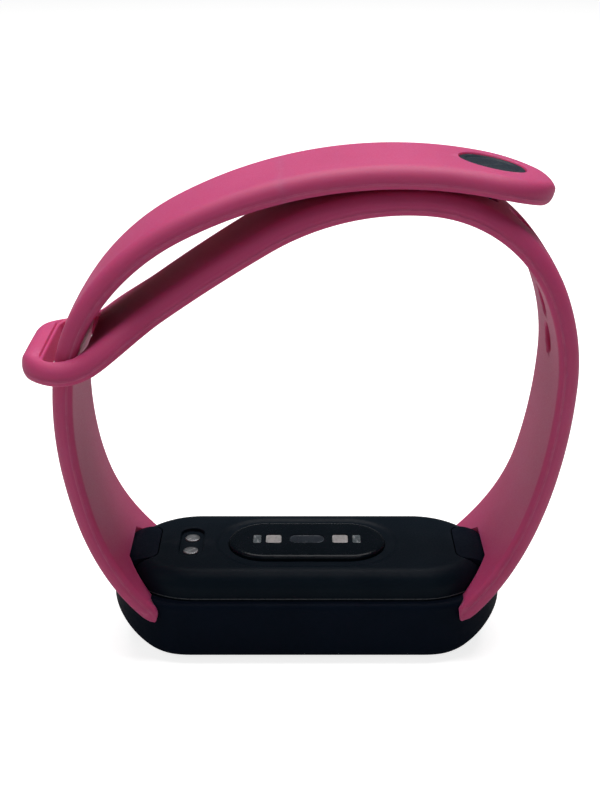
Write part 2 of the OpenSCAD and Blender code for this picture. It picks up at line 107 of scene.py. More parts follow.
def bisect(value: Callable[[float], float], low: float, high: float) -> float:
    """Finds where a function changes its sign.

    Args:
        value: The function.
        low: Start of the search.
        high: End of the search.

    Returns:
        The place between low and high where value passes through 0.
    """
    rising = value(high) > 0
    for _ in range(50):
        middle = (low + high) / 2
        if (value(middle) > 0) == rising:
            high = middle
        else:
            low = middle
    return (low + high) / 2


def spread(low: float, high: float, steps: int) -> list[float]:
    """Evenly spread values from low to high, both included."""
    return [low + (high - low) * i / steps for i in range(steps + 1)]


def rounded_ends(radius: float, steps: int) -> list[float]:
    """Distances from an end that follow a rounding evenly, from the end inwards."""
    return [radius * (1 - math.cos(math.radians(a))) for a in spread(8, 90, steps)]


def arc(low: float, high: float, steps: int) -> list[tuple[float, float]]:
    """Cosine and sine of evenly spread angles from low to high degrees."""
    return [(math.cos(math.radians(a)), math.sin(math.radians(a))) for a in spread(low, high, steps)]


# ---------------------------------------------------------------- meshes


def stand(name: str, data: bpy.types.ID) -> bpy.types.Object:
    """Stands data in the scene as an object of its own.

    Args:
        name: The object's name.
        data: Its mesh, light or camera.

    Returns:
        The object.
    """
    made = bpy.data.objects.new(name, data)
    bpy.context.scene.collection.objects.link(made)
    return made


class Draft:
    """Points and faces of one piece under construction, in millimetres."""

    def __init__(self) -> None:
        """Starts empty."""
        self.points: list[Point] = []
        self.faces: list[tuple[int, ...]] = []

    def ring(self, points: Iterable[Point]) -> list[int]:
        """Adds a ring of points.

        Args:
            points: The ring's points in order, in mm.

        Returns:
            Their numbers.
        """
        first = len(self.points)
        self.points.extend(points)
        return list(range(first, len(self.points)))

    def bridge(self, a: Sequence[int], b: Sequence[int]) -> None:
        """Joins two closed rings of equal length with four-sided faces.

        Args:
            a: Point numbers of the first ring.
            b: Point numbers of the second ring.
        """
        count = len(a)
        for i in range(count):
            j = (i + 1) % count
            self.faces.append((a[i], a[j], b[j], b[i]))

    def skin(self, rings: Sequence[Sequence[Point]], closed: bool = False) -> None:
        """Joins rings in their order.

        Args:
            rings: Rings of equal length.
            closed: True joins the last ring to the first; False closes both ends with a face.
        """
        numbers = [self.ring(r) for r in rings]
        for a, b in zip(numbers, numbers[1:]):
            self.bridge(a, b)
        if closed:
            self.bridge(numbers[-1], numbers[0])
        else:
            self.faces.append(tuple(reversed(numbers[0])))
            self.faces.append(tuple(numbers[-1]))

    def build(self, name: str) -> bpy.types.Object:
        """Makes the object.

        Args:
            name: The piece's name.

        Returns:
            The object, in metres, with its faces turned outwards.
        """
        mesh = bpy.data.meshes.new(name)
        mesh.from_pydata([tuple(c * MM for c in p) for p in self.points], [], self.faces)
        work = bmesh.new()
        work.from_mesh(mesh)
        bmesh.ops.recalc_face_normals(work, faces=work.faces)
        work.to_mesh(mesh)
        work.free()
        return stand(name, mesh)


def solid(name: str, rings: Sequence[Sequence[Point]], closed: bool = False) -> bpy.types.Object:
    """Makes one piece of rings that are joined in their order.

    Args:
        name: The piece's name.
        rings: Rings of equal length, in mm.
        closed: True joins the last ring to the first; False closes both ends with a face.

    Returns:
        The object.
    """
    draft = Draft()
    draft.skin(rings, closed)
    return draft.build(name)


def stadium(reach: float, radius: float, z: float, bend: int = 28, side: int = 16) -> list[Point]:
    """Ring of a stadium outline.

    Args:
        reach: Half the distance between the centres of its round ends.
        radius: Radius of the round ends.
        z: Height of the ring.
        bend: Steps along each round end.
        side: Steps along each straight side.

    Returns:
        The ring's points.
    """
    ring: list[Point] = []
    for sign, start in ((1, -90), (-1, 90)):
        for x, y in arc(start, start + 180, bend):
            ring.append((sign * reach + radius * x, radius * y, z))
        for x in spread(sign * reach, -sign * reach, side)[1:-1]:
            ring.append((x, sign * radius, z))
    return ring


def rounded_box(half_x: float, half_y: float, corner: float, steps: int = 6) -> list[Flat]:
    """Outline of a rectangle with round corners, centred on the origin.

    Args:
        half_x: Half its length.
        half_y: Half its width.
        corner: Radius of its corners.
        steps: Steps round each corner.

    Returns:
        The outline's points.
    """
    outline: list[Flat] = []
    for sx, sy, start in ((1, 1, 0), (-1, 1, 90), (-1, -1, 180), (1, -1, 270)):
        for x, y in arc(start, start + 90, steps):
            outline.append((sx * (half_x - corner) + corner * x, sy * (half_y - corner) + corner * y))
    return outline


def circle(radius: float, steps: int = 48) -> list[Flat]:
    """Outline of a circle round the origin."""
    return [(radius * math.cos(a), radius * math.sin(a)) for a in spread(0, 2 * math.pi, steps)[:-1]]


def at_height(outline: Iterable[Flat], z: float) -> list[Point]:
    """An outline laid at a height."""
    return [(x, y, z) for x, y in outline]


def lathe(name: str, profile: Sequence[Flat], steps: int = 64) -> bpy.types.Object:
    """Turned piece round the Z axis.

    Args:
        name: The piece's name.
        profile: Radius and height pairs from one end of the axis to the other, none on the axis.
        steps: Steps round the axis.

    Returns:
        The object.
    """
    return solid(name, [at_height(circle(r, steps), z) for r, z in profile])


def flared_cutter(outline: Callable[[float], list[Flat]], depth: float, flare: float) -> bpy.types.Object:
    """Cutter for an opening whose lips are rounded on both faces of a sheet.

    Args:
        outline: Gives the opening's outline grown by a distance.
        depth: Thickness of the sheet below Z 0, where its outer face lies.
        flare: Radius of the lips.

    Returns:
        The cutter.
    """
    lip = [(flare * (1 - y), LIP_LIFT - flare * (1 - x)) for x, y in arc(0, 90, 6)]
    levels = [(flare, 1.0)] + lip
    levels += [(grow, -depth - z) for grow, z in reversed(lip)]
    levels.append((flare, -depth - 1.0))
    return solid("cutter", [at_height(outline(grow), z) for grow, z in levels])


def left_standing(mesh: bpy.types.Mesh, cutter: bpy.types.Object) -> bool:
    """Tells whether a cut has failed, because the top of the cutter is now part of the mesh.

    Args:
        mesh: The mesh after the cut.
        cutter: The cutter, whose top lies outside the piece.

    Returns:
        True where the cut has failed.
    """
    highest = max(cutter.data.vertices, key=lambda v: v.co.z).co
    corner = cutter.matrix_world @ highest
    return any((v.co - corner).length < SAME_POINT for v in mesh.vertices)


def carve(
    piece: bpy.types.Object, cutters: Sequence[bpy.types.Object], turns: Sequence[float] = (0.0,)
) -> None:
    """Cuts pieces out of a piece for good, and removes the cutters.

    Args:
        piece: The piece to cut.
        cutters: The closed pieces to cut with, placed already.
        turns: Angles in degrees by which a cutter is turned further, one after another, until its cut is
            clean. More than the first are only for round cutters.
    """
    for cutter in cutters:
        for turn in turns:
            cutter.matrix_world = cutter.matrix_world @ Matrix.Rotation(math.radians(turn), 4, "Z")
            cut = piece.modifiers.new("cut", "BOOLEAN")
            cut.operation = "DIFFERENCE"
            cut.solver = "EXACT"
            cut.object = cutter
            bpy.context.view_layer.update()
            seen = piece.evaluated_get(bpy.context.evaluated_depsgraph_get())
            mesh = bpy.data.meshes.new_from_object(seen)
            piece.modifiers.clear()
            if not left_standing(mesh, cutter):
                break
            log.warning("%s: a cut left its cutter standing after a turn of %.1f degrees", piece.name, turn)
        piece.data = mesh
        bpy.data.objects.remove(cutter)


def keep_largest(piece: bpy.types.Object) -> None:
    """Drops the loose crumbs that a cut leaves, and keeps the body with the most points.

    Args:
        piece: The piece.
    """
    work = bmesh.new()
    work.from_mesh(piece.data)
    left = set(work.verts)
    islands: list[set] = []
    while left:
        island = {left.pop()}
        edge_of_island = set(island)
        while edge_of_island:
            reached = {e.other_vert(v) for v in edge_of_island for e in v.link_edges} - island
            island |= reached
            edge_of_island = reached
        left -= island
        islands.append(island)
    islands.sort(key=len)
    for island in islands[:-1]:
        bmesh.ops.delete(work, geom=list(island), context="VERTS")
    bmesh.ops.remove_doubles(work, verts=work.verts, dist=SAME_POINT)
    work.to_mesh(piece.data)
    work.free()


def soften(piece: bpy.types.Object, angle: float) -> None:
    """Shades a piece smoothly up to an angle between faces, and evens its normals.

    Args:
        piece: The piece.
        angle: Edges sharper than this stay crisp, in degrees.
    """
    piece.data.shade_smooth()
    piece.data.set_sharp_from_angle(angle=math.radians(angle))
    even = piece.modifiers.new("even_normals", "WEIGHTED_NORMAL")
    even.keep_sharp = True


# ---------------------------------------------------------------- shader effects


class Effect:
    """A shader node group under construction, with short ways to add and join its nodes."""

    SOCKETS = {"float": "NodeSocketFloat", "color": "NodeSocketColor", "vector": "NodeSocketVector"}

    def __init__(self, name: str, inputs: dict[str, float], outputs: dict[str, str]) -> None:
        """Makes an empty group.

        Args:
            name: The effect's name.
            inputs: Names of its number inputs with their default values.
            outputs: Names of its outputs with their kinds.
        """
        self.tree = bpy.data.node_groups.new(name, "ShaderNodeTree")
        for label, value in inputs.items():
            socket = self.tree.interface.new_socket(
                name=label, in_out="INPUT", socket_type=self.SOCKETS["float"]
            )
            socket.default_value = value
        for label, kind in outputs.items():
            self.tree.interface.new_socket(name=label, in_out="OUTPUT", socket_type=self.SOCKETS[kind])
        self.entry = self.tree.nodes.new("NodeGroupInput").outputs
        self.exit = self.tree.nodes.new("NodeGroupOutput").inputs

    def node(self, kind: str, **values: object) -> bpy.types.Node:
        """Adds a node.

        Args:
            kind: Blender's name of the node.
            values: The node's options by name.

        Returns:
            The node.
        """
        made = self.tree.nodes.new(kind)
        for key, value in values.items():
            setattr(made, key, value)
        return made

    def join(self, source: bpy.types.NodeSocket, target: bpy.types.NodeSocket) -> None:
        """Joins two sockets."""
        self.tree.links.new(source, target)

    def math(self, operation: str, a: object, b: object = 0.0) -> bpy.types.NodeSocket:
        """Adds a math node.

        Args:
            operation: What it does.
            a: First input, a socket or a number.
            b: Second input, a socket or a number.

        Returns:
            Its output.
        """
        made = self.node("ShaderNodeMath", operation=operation)
        for socket, value in zip(made.inputs, (a, b)):
            if isinstance(value, bpy.types.NodeSocket):
                self.join(value, socket)
            else:
                socket.default_value = value
        return made.outputs[0]

    def noise(
        self, scale: object, detail: float = 2.0, roughness: float = 0.5, stretch: Point = (1, 1, 1)
    ) -> bpy.types.NodeSocket:
        """Adds a noise in the piece's own space.

        Args:
            scale: Its scale, a socket or a number.
            detail: How many finer layers it has.
            roughness: How strong the finer layers are.
            stretch: Factors along X, Y and Z.

        Returns:
            The noise, from 0 to 1.
        """
        place = self.node("ShaderNodeTexCoord").outputs["Object"]
        mapping = self.node("ShaderNodeMapping")
        mapping.inputs["Scale"].default_value = stretch
        self.join(place, mapping.inputs["Vector"])
        made = self.node("ShaderNodeTexNoise")
        made.inputs["Detail"].default_value = detail
        made.inputs["Roughness"].default_value = roughness
        self.join(mapping.outputs[0], made.inputs["Vector"])
        if isinstance(scale, bpy.types.NodeSocket):
            self.join(scale, made.inputs["Scale"])
        else:
            made.inputs["Scale"].default_value = scale
        return made.outputs["Fac"]

    def between(self, value: bpy.types.NodeSocket, low: float, high: float) -> bpy.types.NodeSocket:
        """Maps a range of a value smoothly to 0 to 1.

        Args:
            value: The value.
            low: What becomes 0.
            high: What becomes 1.

        Returns:
            The mapped value.
        """
        made = self.node("ShaderNodeMapRange", interpolation_type="SMOOTHSTEP")
        made.inputs["From Min"].default_value = low
        made.inputs["From Max"].default_value = high
        self.join(value, made.inputs["Value"])
        return made.outputs["Result"]


def grain_effect() -> bpy.types.NodeTree:
    """Fine moulded grain with faint broader waves.

    Returns:
        The group, which puts out a height, and a mask to vary the roughness.
    """
    effect = Effect("moulded_grain", {"Scale": 3000.0, "Waves": 0.3}, {"Height": "float", "Mask": "float"})
    fine = effect.noise(effect.entry["Scale"], detail=3.0, roughness=0.6)
    broad = effect.noise(260.0, detail=1.0)
    waves = effect.math("MULTIPLY", broad, effect.entry["Waves"])
    effect.join(effect.math("ADD", fine, waves), effect.exit["Height"])
    effect.join(effect.between(fine, 0.3, 0.7), effect.exit["Mask"])
    return effect.tree


def drift_effect() -> bpy.types.NodeTree:
    """Slow change of shade over a moulding.

    Returns:
        The group, which puts out a mask round 0.5.
    """
    effect = Effect("shade_drift", {"Scale": 120.0}, {"Mask": "float"})
    slow = effect.noise(effect.entry["Scale"], detail=4.0, roughness=0.55)
    effect.join(effect.between(slow, 0.3, 0.7), effect.exit["Mask"])
    return effect.tree


def wear_and_edge_highlight_effect() -> bpy.types.NodeTree:
    """Rubbed edges, and painted highlights along edges.

    Returns:
        The group, which puts out a mask that grows where the surface turns sharply outwards.
    """
    effect = Effect("rubbed_and_highlit_edges", {"Amount": 0.5}, {"Mask": "float"})
    edge = effect.between(effect.node("ShaderNodeNewGeometry").outputs["Pointiness"], 0.515, 0.60)
    broken = effect.between(effect.noise(900.0, detail=4.0), 0.35, 0.65)
    rubbed_and_highlit = effect.math("MULTIPLY", edge, effect.math("ADD", effect.math("MULTIPLY", broken, 0.7), 0.3))
    effect.join(effect.math("MULTIPLY", rubbed_and_highlit, effect.entry["Amount"]), effect.exit["Mask"])
    return effect.tree


def dust_and_lit_top_effect() -> bpy.types.NodeTree:
    """Dust that settles, and painted light on what faces up.

    Returns:
        The group, which puts out a mask of small flecks on what faces up.
    """
    effect = Effect("upward_dust_and_light", {"Amount": 0.5}, {"Mask": "float"})
    normal = effect.node("ShaderNodeSeparateXYZ")
    effect.join(effect.node("ShaderNodeTexCoord").outputs["Normal"], normal.inputs[0])
    upward = effect.between(normal.outputs["Z"], 0.2, 0.95)
    flecks = effect.between(effect.noise(2600.0, detail=2.0, roughness=0.7), 0.66, 0.78)
    patches = effect.between(effect.noise(240.0, detail=3.0), 0.45, 0.7)
    film = effect.math("MULTIPLY", patches, 0.18)
    both = effect.math("MAXIMUM", effect.math("MULTIPLY", flecks, patches), film)
    dust_and_lit_top_mask = effect.math("MULTIPLY", both, upward)
    effect.join(effect.math("MULTIPLY", dust_and_lit_top_mask, effect.entry["Amount"]), effect.exit["Mask"])
    return effect.tree


def brushed_effect() -> bpy.types.NodeTree:
    """Fine brushed lines across a piece.

    Returns:
        The group, which puts out a height and a mask.
    """
    effect = Effect("brushed_lines", {"Scale": 4000.0}, {"Height": "float", "Mask": "float"})
    lines = effect.noise(effect.entry["Scale"], detail=2.0, stretch=(1.0, 0.04, 0.04))
    effect.join(lines, effect.exit["Height"])
    effect.join(effect.between(lines, 0.3, 0.7), effect.exit["Mask"])
    return effect.tree


def tracks_effect() -> bpy.types.NodeTree:
    """Printed tracks under a film.

    Returns:
        The group, which puts out a mask of straight lines with breaks.
    """
    effect = Effect("printed_tracks", {"Pitch": 900.0}, {"Mask": "float", "Height": "float"})
    place = effect.node("ShaderNodeSeparateXYZ")
    effect.join(effect.node("ShaderNodeTexCoord").outputs["Object"], place.inputs[0])
    phase = effect.math("MULTIPLY", place.outputs["Y"], effect.entry["Pitch"])
    line = effect.between(effect.math("PINGPONG", phase, 0.5), 0.28, 0.34)
    gaps = effect.between(effect.noise(420.0, detail=0.0), 0.42, 0.46)
    tracks = effect.math("MULTIPLY", line, gaps)
    effect.join(tracks, effect.exit["Mask"])
    effect.join(tracks, effect.exit["Height"])
    return effect.tree


class Surface(Enum):
    """The kinds of surface that a finish can have."""

    MOULDED = "grain"
    BRUSHED = "brushed"
    PRINTED = "tracks"


@dataclass(frozen=True)
class Finish:
    """One finish: its colours, its gloss and how strongly each effect shows."""

    slot: str
    color: Color
    second: Color
    roughness: float = 0.5
    roughness_swing: float = 0.08
    metallic: float = 0.0
    specular: float = 0.3
    coat: float = 0.0
    coat_roughness: float = 0.1
    sheen: float = 0.0
    sheen_roughness: float = 0.4
    surface: Surface = Surface.MOULDED
    grain_scale: float = 3000.0
    grain_depth: float = 0.000012
    drift_scale: float = 120.0
    wear_and_edge_highlight: float = 0.0
    wear_and_edge_highlight_color: Color = (0.1, 0.1, 0.1)
    dust_and_lit_top: float = 0.0
    dust_and_lit_top_color: Color = (0.45, 0.43, 0.42)
    translucency: float = 0.0
    glow_reach: Color = (1.0, 0.12, 0.25)
    glow_depth: float = 0.0025


class Workshop:
    """Keeps the effects and makes each finish's material once."""

    def __init__(self) -> None:
        """Builds the shared effects."""
        self.effects = {
            "grain": grain_effect(),
            "drift": drift_effect(),
            "wear_and_edge_highlight": wear_and_edge_highlight_effect(),
            "dust_and_lit_top": dust_and_lit_top_effect(),
            "brushed": brushed_effect(),
            "tracks": tracks_effect(),
        }
        self.made: dict[str, bpy.types.Material] = {}

    def material(self, finish: Finish) -> bpy.types.Material:
        """Makes or returns the material of a finish.

        Args:
            finish: The finish.

        Returns:
            The material, built of nodes.
        """
        if finish.slot in self.made:
            return self.made[finish.slot]
        made = bpy.data.materials.new(finish.slot)
        made.use_nodes = True
        nodes, links = made.node_tree.nodes, made.node_tree.links
        shader = nodes["Principled BSDF"]
        for label, value in (
            ("Metallic", finish.metallic),
            ("Specular IOR Level", finish.specular),
            ("Coat Weight", finish.coat),
            ("Coat Roughness", finish.coat_roughness),
            ("Sheen Weight", finish.sheen),
            ("Sheen Roughness", finish.sheen_roughness),
        ):
            shader.inputs[label].default_value = value
        if finish.translucency > 0:
            shader.inputs["Subsurface Weight"].default_value = finish.translucency
            shader.inputs["Subsurface Radius"].default_value = finish.glow_reach
            shader.inputs["Subsurface Scale"].default_value = finish.glow_depth

        def effect(label: str, **values: float) -> bpy.types.NodeOutputs:
            """Places a shared effect.

            Args:
                label: The effect's key.
                values: Its inputs by name.

            Returns:
                Its outputs.
            """
            placed = nodes.new("ShaderNodeGroup")
            placed.node_tree = self.effects[label]
            for key, value in values.items():
                placed.inputs[key].default_value = value
            return placed.outputs

        def mixed(mask: bpy.types.NodeSocket, under: object, over: Color) -> bpy.types.NodeSocket:
            """Lays a colour over another.

            Args:
                mask: Where the colour on top shows.
                under: The colour underneath, a socket or a colour.
                over: The colour on top.

            Returns:
                The mixed colour.
            """
            mix = nodes.new("ShaderNodeMix")
            mix.data_type = "RGBA"
            links.new(mask, mix.inputs["Factor"])
            if isinstance(under, bpy.types.NodeSocket):
                links.new(under, mix.inputs["A"])
            else:
                mix.inputs["A"].default_value = (*under, 1.0)
            mix.inputs["B"].default_value = (*over, 1.0)
            return mix.outputs["Result"]

        if finish.surface is Surface.PRINTED:
            texture = effect(finish.surface.value, Pitch=finish.grain_scale)
            shade = texture["Mask"]
        else:
            texture = effect(finish.surface.value, Scale=finish.grain_scale)
            shade = effect("drift", Scale=finish.drift_scale)["Mask"]
        color = mixed(shade, finish.color, finish.second)
        # Sharp outward edges get a lighter colour: rubbing on most finishes, painted highlights on the
        # windows.
        if finish.wear_and_edge_highlight > 0:
            color = mixed(effect("wear_and_edge_highlight", Amount=finish.wear_and_edge_highlight)["Mask"], color, finish.wear_and_edge_highlight_color)
        # Faces that face up get a lighter colour: settled grime on most finishes, painted light on the
        # elastomer.
        if finish.dust_and_lit_top > 0:
            color = mixed(effect("dust_and_lit_top", Amount=finish.dust_and_lit_top)["Mask"], color, finish.dust_and_lit_top_color)
        links.new(color, shader.inputs["Base Color"])
        swing = nodes.new("ShaderNodeMapRange")
        swing.inputs["To Min"].default_value = max(finish.roughness - finish.roughness_swing, 0.02)
        swing.inputs["To Max"].default_value = min(finish.roughness + finish.roughness_swing, 1.0)
        links.new(texture["Mask"], swing.inputs["Value"])
        links.new(swing.outputs["Result"], shader.inputs["Roughness"])
        bump = nodes.new("ShaderNodeBump")
        bump.inputs["Strength"].default_value = 1.0
        bump.inputs["Distance"].default_value = finish.grain_depth
        links.new(texture["Height"], bump.inputs["Height"])
        links.new(bump.outputs["Normal"], shader.inputs["Normal"])
        self.made[finish.slot] = made
        return made

    def dress(self, piece: bpy.types.Object, finish: Finish) -> None:
        """Gives a piece one finish.

        Args:
            piece: The piece.
            finish: Its finish.
        """
        piece.data.materials.clear()
        piece.data.materials.append(self.material(finish))

    def complete(self, piece: bpy.types.Object, finish: Finish, angle: float = CRISP) -> None:
        """Shades and dresses a modelled piece, and logs it.

        Args:
            piece: The piece.
            finish: Its finish.
            angle: Edges sharper than this stay crisp, in degrees.
        """
        soften(piece, angle)
        self.dress(piece, finish)
        log.info("%s: %d points", piece.name, len(piece.data.vertices))


# The layer on faces that face up lays a pale pink here: painted light that makes the tops of the straps
# paler.
ELASTOMER = Finish(
    "band_elastomer", (0.56, 0.055, 0.185), (0.52, 0.045, 0.165), roughness=0.6, roughness_swing=0.07,
    specular=0.5, sheen=0.05, sheen_roughness=0.4, grain_scale=5200.0, grain_depth=0.000010,
    drift_scale=70.0, wear_and_edge_highlight=0.25, wear_and_edge_highlight_color=(0.75, 0.22, 0.36), dust_and_lit_top=0.02, dust_and_lit_top_color=(0.85, 0.50, 0.62),
    translucency=0.35,
)
HOLDER_SKIN = Finish(
    "holder_plastic", (0.0018, 0.0048, 0.0115), (0.0024, 0.0062, 0.0150), roughness=0.55, specular=0.05,
    grain_scale=4200.0, grain_depth=0.000010, wear_and_edge_highlight=0.25, wear_and_edge_highlight_color=(0.012, 0.018, 0.028), dust_and_lit_top=0.012,
)
COVER_SKIN = Finish(
    "cover_plastic", (0.0036, 0.0082, 0.0140), (0.0046, 0.0100, 0.0165), roughness=0.44, specular=0.06,
    grain_scale=4600.0, grain_depth=0.000008, wear_and_edge_highlight=0.3, wear_and_edge_highlight_color=(0.02, 0.026, 0.033), dust_and_lit_top=0.014,
)
COVER_LINE = Finish(
    "case_plastic", (0.006, 0.009, 0.012), (0.008, 0.011, 0.015), roughness=0.34, specular=0.3,
    grain_depth=0.000005, wear_and_edge_highlight=0.2, wear_and_edge_highlight_color=(0.03, 0.034, 0.04),
)
# A light grey for the outer faces of the thin lip above the holder's rim: a painted glint of light off the
# capsule's edge.
PAINTED_SEAM_GLINT = Finish(
    "cover_seam_glint", (0.09, 0.10, 0.11), (0.07, 0.08, 0.09), roughness=0.3, specular=0.5, grain_depth=0.000002,
)
GLASS = Finish(
    "front_glass", (0.004, 0.005, 0.007), (0.006, 0.007, 0.009), roughness=0.06, roughness_swing=0.03,
    specular=0.5, coat=0.6, coat_roughness=0.03, grain_scale=900.0, grain_depth=0.000001,
)
LENS = Finish(
    "lens_gloss", (0.0024, 0.0060, 0.0100), (0.0032, 0.0074, 0.0122), roughness=0.24, roughness_swing=0.05,
    specular=0.08, coat=0.05, coat_roughness=0.08, grain_scale=1400.0, grain_depth=0.000001, wear_and_edge_highlight=0.15,
    wear_and_edge_highlight_color=(0.02, 0.024, 0.03), dust_and_lit_top=0.012,
)
# The LED window's strong lighter edge colour is a painted highlight along its rim.
WINDOW_DARK = Finish(
    "window_dark", (0.030, 0.040, 0.052), (0.020, 0.028, 0.038), roughness=0.2, specular=0.35,
    drift_scale=500.0, grain_scale=2200.0, grain_depth=0.000003, wear_and_edge_highlight=0.7, wear_and_edge_highlight_color=(0.10, 0.12, 0.14),
)
WINDOW_LIGHT = Finish(
    "window_light", (0.50, 0.50, 0.48), (0.40, 0.41, 0.40), roughness=0.3, specular=0.35, drift_scale=700.0,
    grain_scale=2600.0, grain_depth=0.000004, wear_and_edge_highlight=0.4, wear_and_edge_highlight_color=(0.7, 0.7, 0.68),
)
# The side windows' strong lighter edge colour is a painted highlight along their rims.
WINDOW_GREY = Finish(
    "window_grey", (0.085, 0.11, 0.12), (0.12, 0.15, 0.16), roughness=0.25, specular=0.35, drift_scale=900.0,
    grain_scale=2600.0, grain_depth=0.000004, wear_and_edge_highlight=0.9, wear_and_edge_highlight_color=(0.45, 0.5, 0.5),
)
CONTACT = Finish(
    "contact_steel", (0.24, 0.25, 0.26), (0.19, 0.20, 0.21), roughness=0.5, metallic=1.0, specular=0.5,
    surface=Surface.BRUSHED, grain_scale=5200.0, grain_depth=0.000004, drift_scale=800.0, wear_and_edge_highlight=0.4,
    wear_and_edge_highlight_color=(0.7, 0.7, 0.69),
)
STUD = Finish(
    "stud_grey", (0.019, 0.029, 0.040), (0.024, 0.035, 0.047), roughness=0.5, specular=0.12,
    grain_scale=4200.0, grain_depth=0.000008, wear_and_edge_highlight=0.4, wear_and_edge_highlight_color=(0.09, 0.10, 0.115), dust_and_lit_top=0.06,
)
FRAME_PLASTIC = Finish(
    "frame_plastic", (0.024, 0.027, 0.031), (0.030, 0.033, 0.038), roughness=0.6,
)
BOARD = Finish(
    "circuit_board", (0.008, 0.095, 0.045), (0.012, 0.150, 0.070), roughness=0.35, surface=Surface.PRINTED,
    grain_scale=1100.0, grain_depth=0.00002,
)
FLEX = Finish(
    "flex_circuit", (0.50, 0.22, 0.04), (0.66, 0.36, 0.10), roughness=0.35, surface=Surface.PRINTED,
    grain_scale=1500.0, grain_depth=0.00001,
)
CHIP = Finish("chip_black", (0.016, 0.016, 0.018), (0.022, 0.022, 0.025), roughness=0.45, wear_and_edge_highlight=0.4)
TIN = Finish(
    "shield_tin", (0.58, 0.59, 0.61), (0.50, 0.51, 0.53), roughness=0.3, metallic=1.0,
    surface=Surface.BRUSHED, grain_scale=3200.0,
)
DISPLAY = Finish(
    "display_glass", (0.010, 0.011, 0.016), (0.014, 0.015, 0.021), roughness=0.12, specular=0.4,
    grain_scale=6000.0, grain_depth=0.000001,
)
ADHESIVE = Finish(
    "clear_adhesive", (0.70, 0.73, 0.75), (0.66, 0.69, 0.71), roughness=0.1, specular=0.4,
    grain_depth=0.000002,
)
SEAL = Finish(
    "seal_rubber", (0.040, 0.040, 0.044), (0.050, 0.050, 0.055), roughness=0.7, sheen=0.1, grain_scale=3600.0,
)
LED = Finish("led_body", (0.42, 0.66, 0.37), (0.34, 0.58, 0.30), roughness=0.22, drift_scale=1500.0)
BATTERY = Finish(
    "battery_foil", (0.52, 0.54, 0.56), (0.60, 0.62, 0.64), roughness=0.38, metallic=0.8, grain_scale=1800.0,
    grain_depth=0.00003,
)
TAPE = Finish(
    "tape_white", (0.76, 0.76, 0.73), (0.70, 0.70, 0.67), roughness=0.8, grain_scale=2600.0,
    grain_depth=0.00003,
)
MAGNET = Finish("magnet_dark", (0.06, 0.06, 0.07), (0.08, 0.08, 0.09), roughness=0.5, metallic=0.6)
TUNGSTEN = Finish(
    "weight_tungsten", (0.14, 0.13, 0.115), (0.18, 0.17, 0.15), roughness=0.45, metallic=0.9,
    grain_scale=2400.0,
)
CARRIED_FINISHES: dict[str, Finish] = {
    "front_glass": GLASS,
    "holder_frame": HOLDER_SKIN,
    "front_case": COVER_LINE,
    "display_panel": DISPLAY,
    "optical_adhesive": ADHESIVE,
    "case_seal": SEAL,
    "inner_frame": FRAME_PLASTIC,
    "light_barrier": FRAME_PLASTIC,
    "sensor_board": BOARD,
    "sensor_leds": LED,
    "photodiodes": CHIP,
    "sensor_flex": FLEX,
    "battery": BATTERY,
    "battery_tape": TAPE,
    "shield_can": TIN,
    "motor_magnet": MAGNET,
    "motor_weight": TUNGSTEN,
    "main_board": BOARD,
    "contact_board": BOARD,
    "display_flex": FLEX,
    "contact_flex": FLEX,
    "antenna_strip": FLEX,
    "board_chips": CHIP,
    "motor_can": TIN,
    "motor_base": TIN,
    "motor_shaft": TIN,
}


# ---------------------------------------------------------------- the band


@dataclass(frozen=True)
class BandLine:
    """The line a strap follows in the upright plane: a start, and arcs of a radius and a turn."""

    start_x: float
    start_z: float
    heading: float
    arcs: tuple[tuple[float, float], ...]
    outer_side: int

    @property
    def length(self) -> float:
        """Length of the whole line in mm."""
        return sum(r * math.radians(abs(turn)) for r, turn in self.arcs)

    def at(self, s: float) -> tuple[float, float, float]:
        """Walks along the line.

        Args:
            s: Distance from the start, in mm.

        Returns:
            X, Z and the heading there, in mm and radians.
        """
        x, z, heading = self.start_x, self.start_z, math.radians(self.heading)
        for i, (radius, turn) in enumerate(self.arcs):
            whole = radius * math.radians(abs(turn))
            share = s / whole if s <= whole or i == len(self.arcs) - 1 else 1.0
            side = math.copysign(1.0, turn)
            ahead = heading + math.radians(turn) * share
            x += side * radius * (math.sin(ahead) - math.sin(heading))
            z -= side * radius * (math.cos(ahead) - math.cos(heading))
            heading = ahead
            s -= whole
            if share != 1.0 or s <= 0:
                break
        return x, z, heading

    def point(self, s: float, across: float, out: float) -> Point:
        """Point beside the line.

        Args:
            s: Distance from the start, in mm.
            across: Distance across the band, in mm.
            out: Distance along the band's outward normal, in mm.

        Returns:
            The point, in mm.
        """
        x, z, heading = self.at(s)
        side = self.outer_side
        return (x + side * math.sin(heading) * out, side * across, z - side * math.cos(heading) * out)

    def place(self, s: float, out: float = 0.0) -> Matrix:
        """Frame beside the line.

        Args:
            s: Distance from the start, in mm.
            out: Distance along the band's outward normal, in mm.

        Returns:
            The frame, in metres, whose Z axis is the outward normal.
        """
        x, _, z = self.point(s, 0.0, out)
        _, _, heading = self.at(s)
        turned = math.pi - heading if self.outer_side > 0 else -heading
        return Matrix.Translation(Vector((x, 0.0, z)) * MM) @ Matrix.Rotation(turned, 4, "Y")


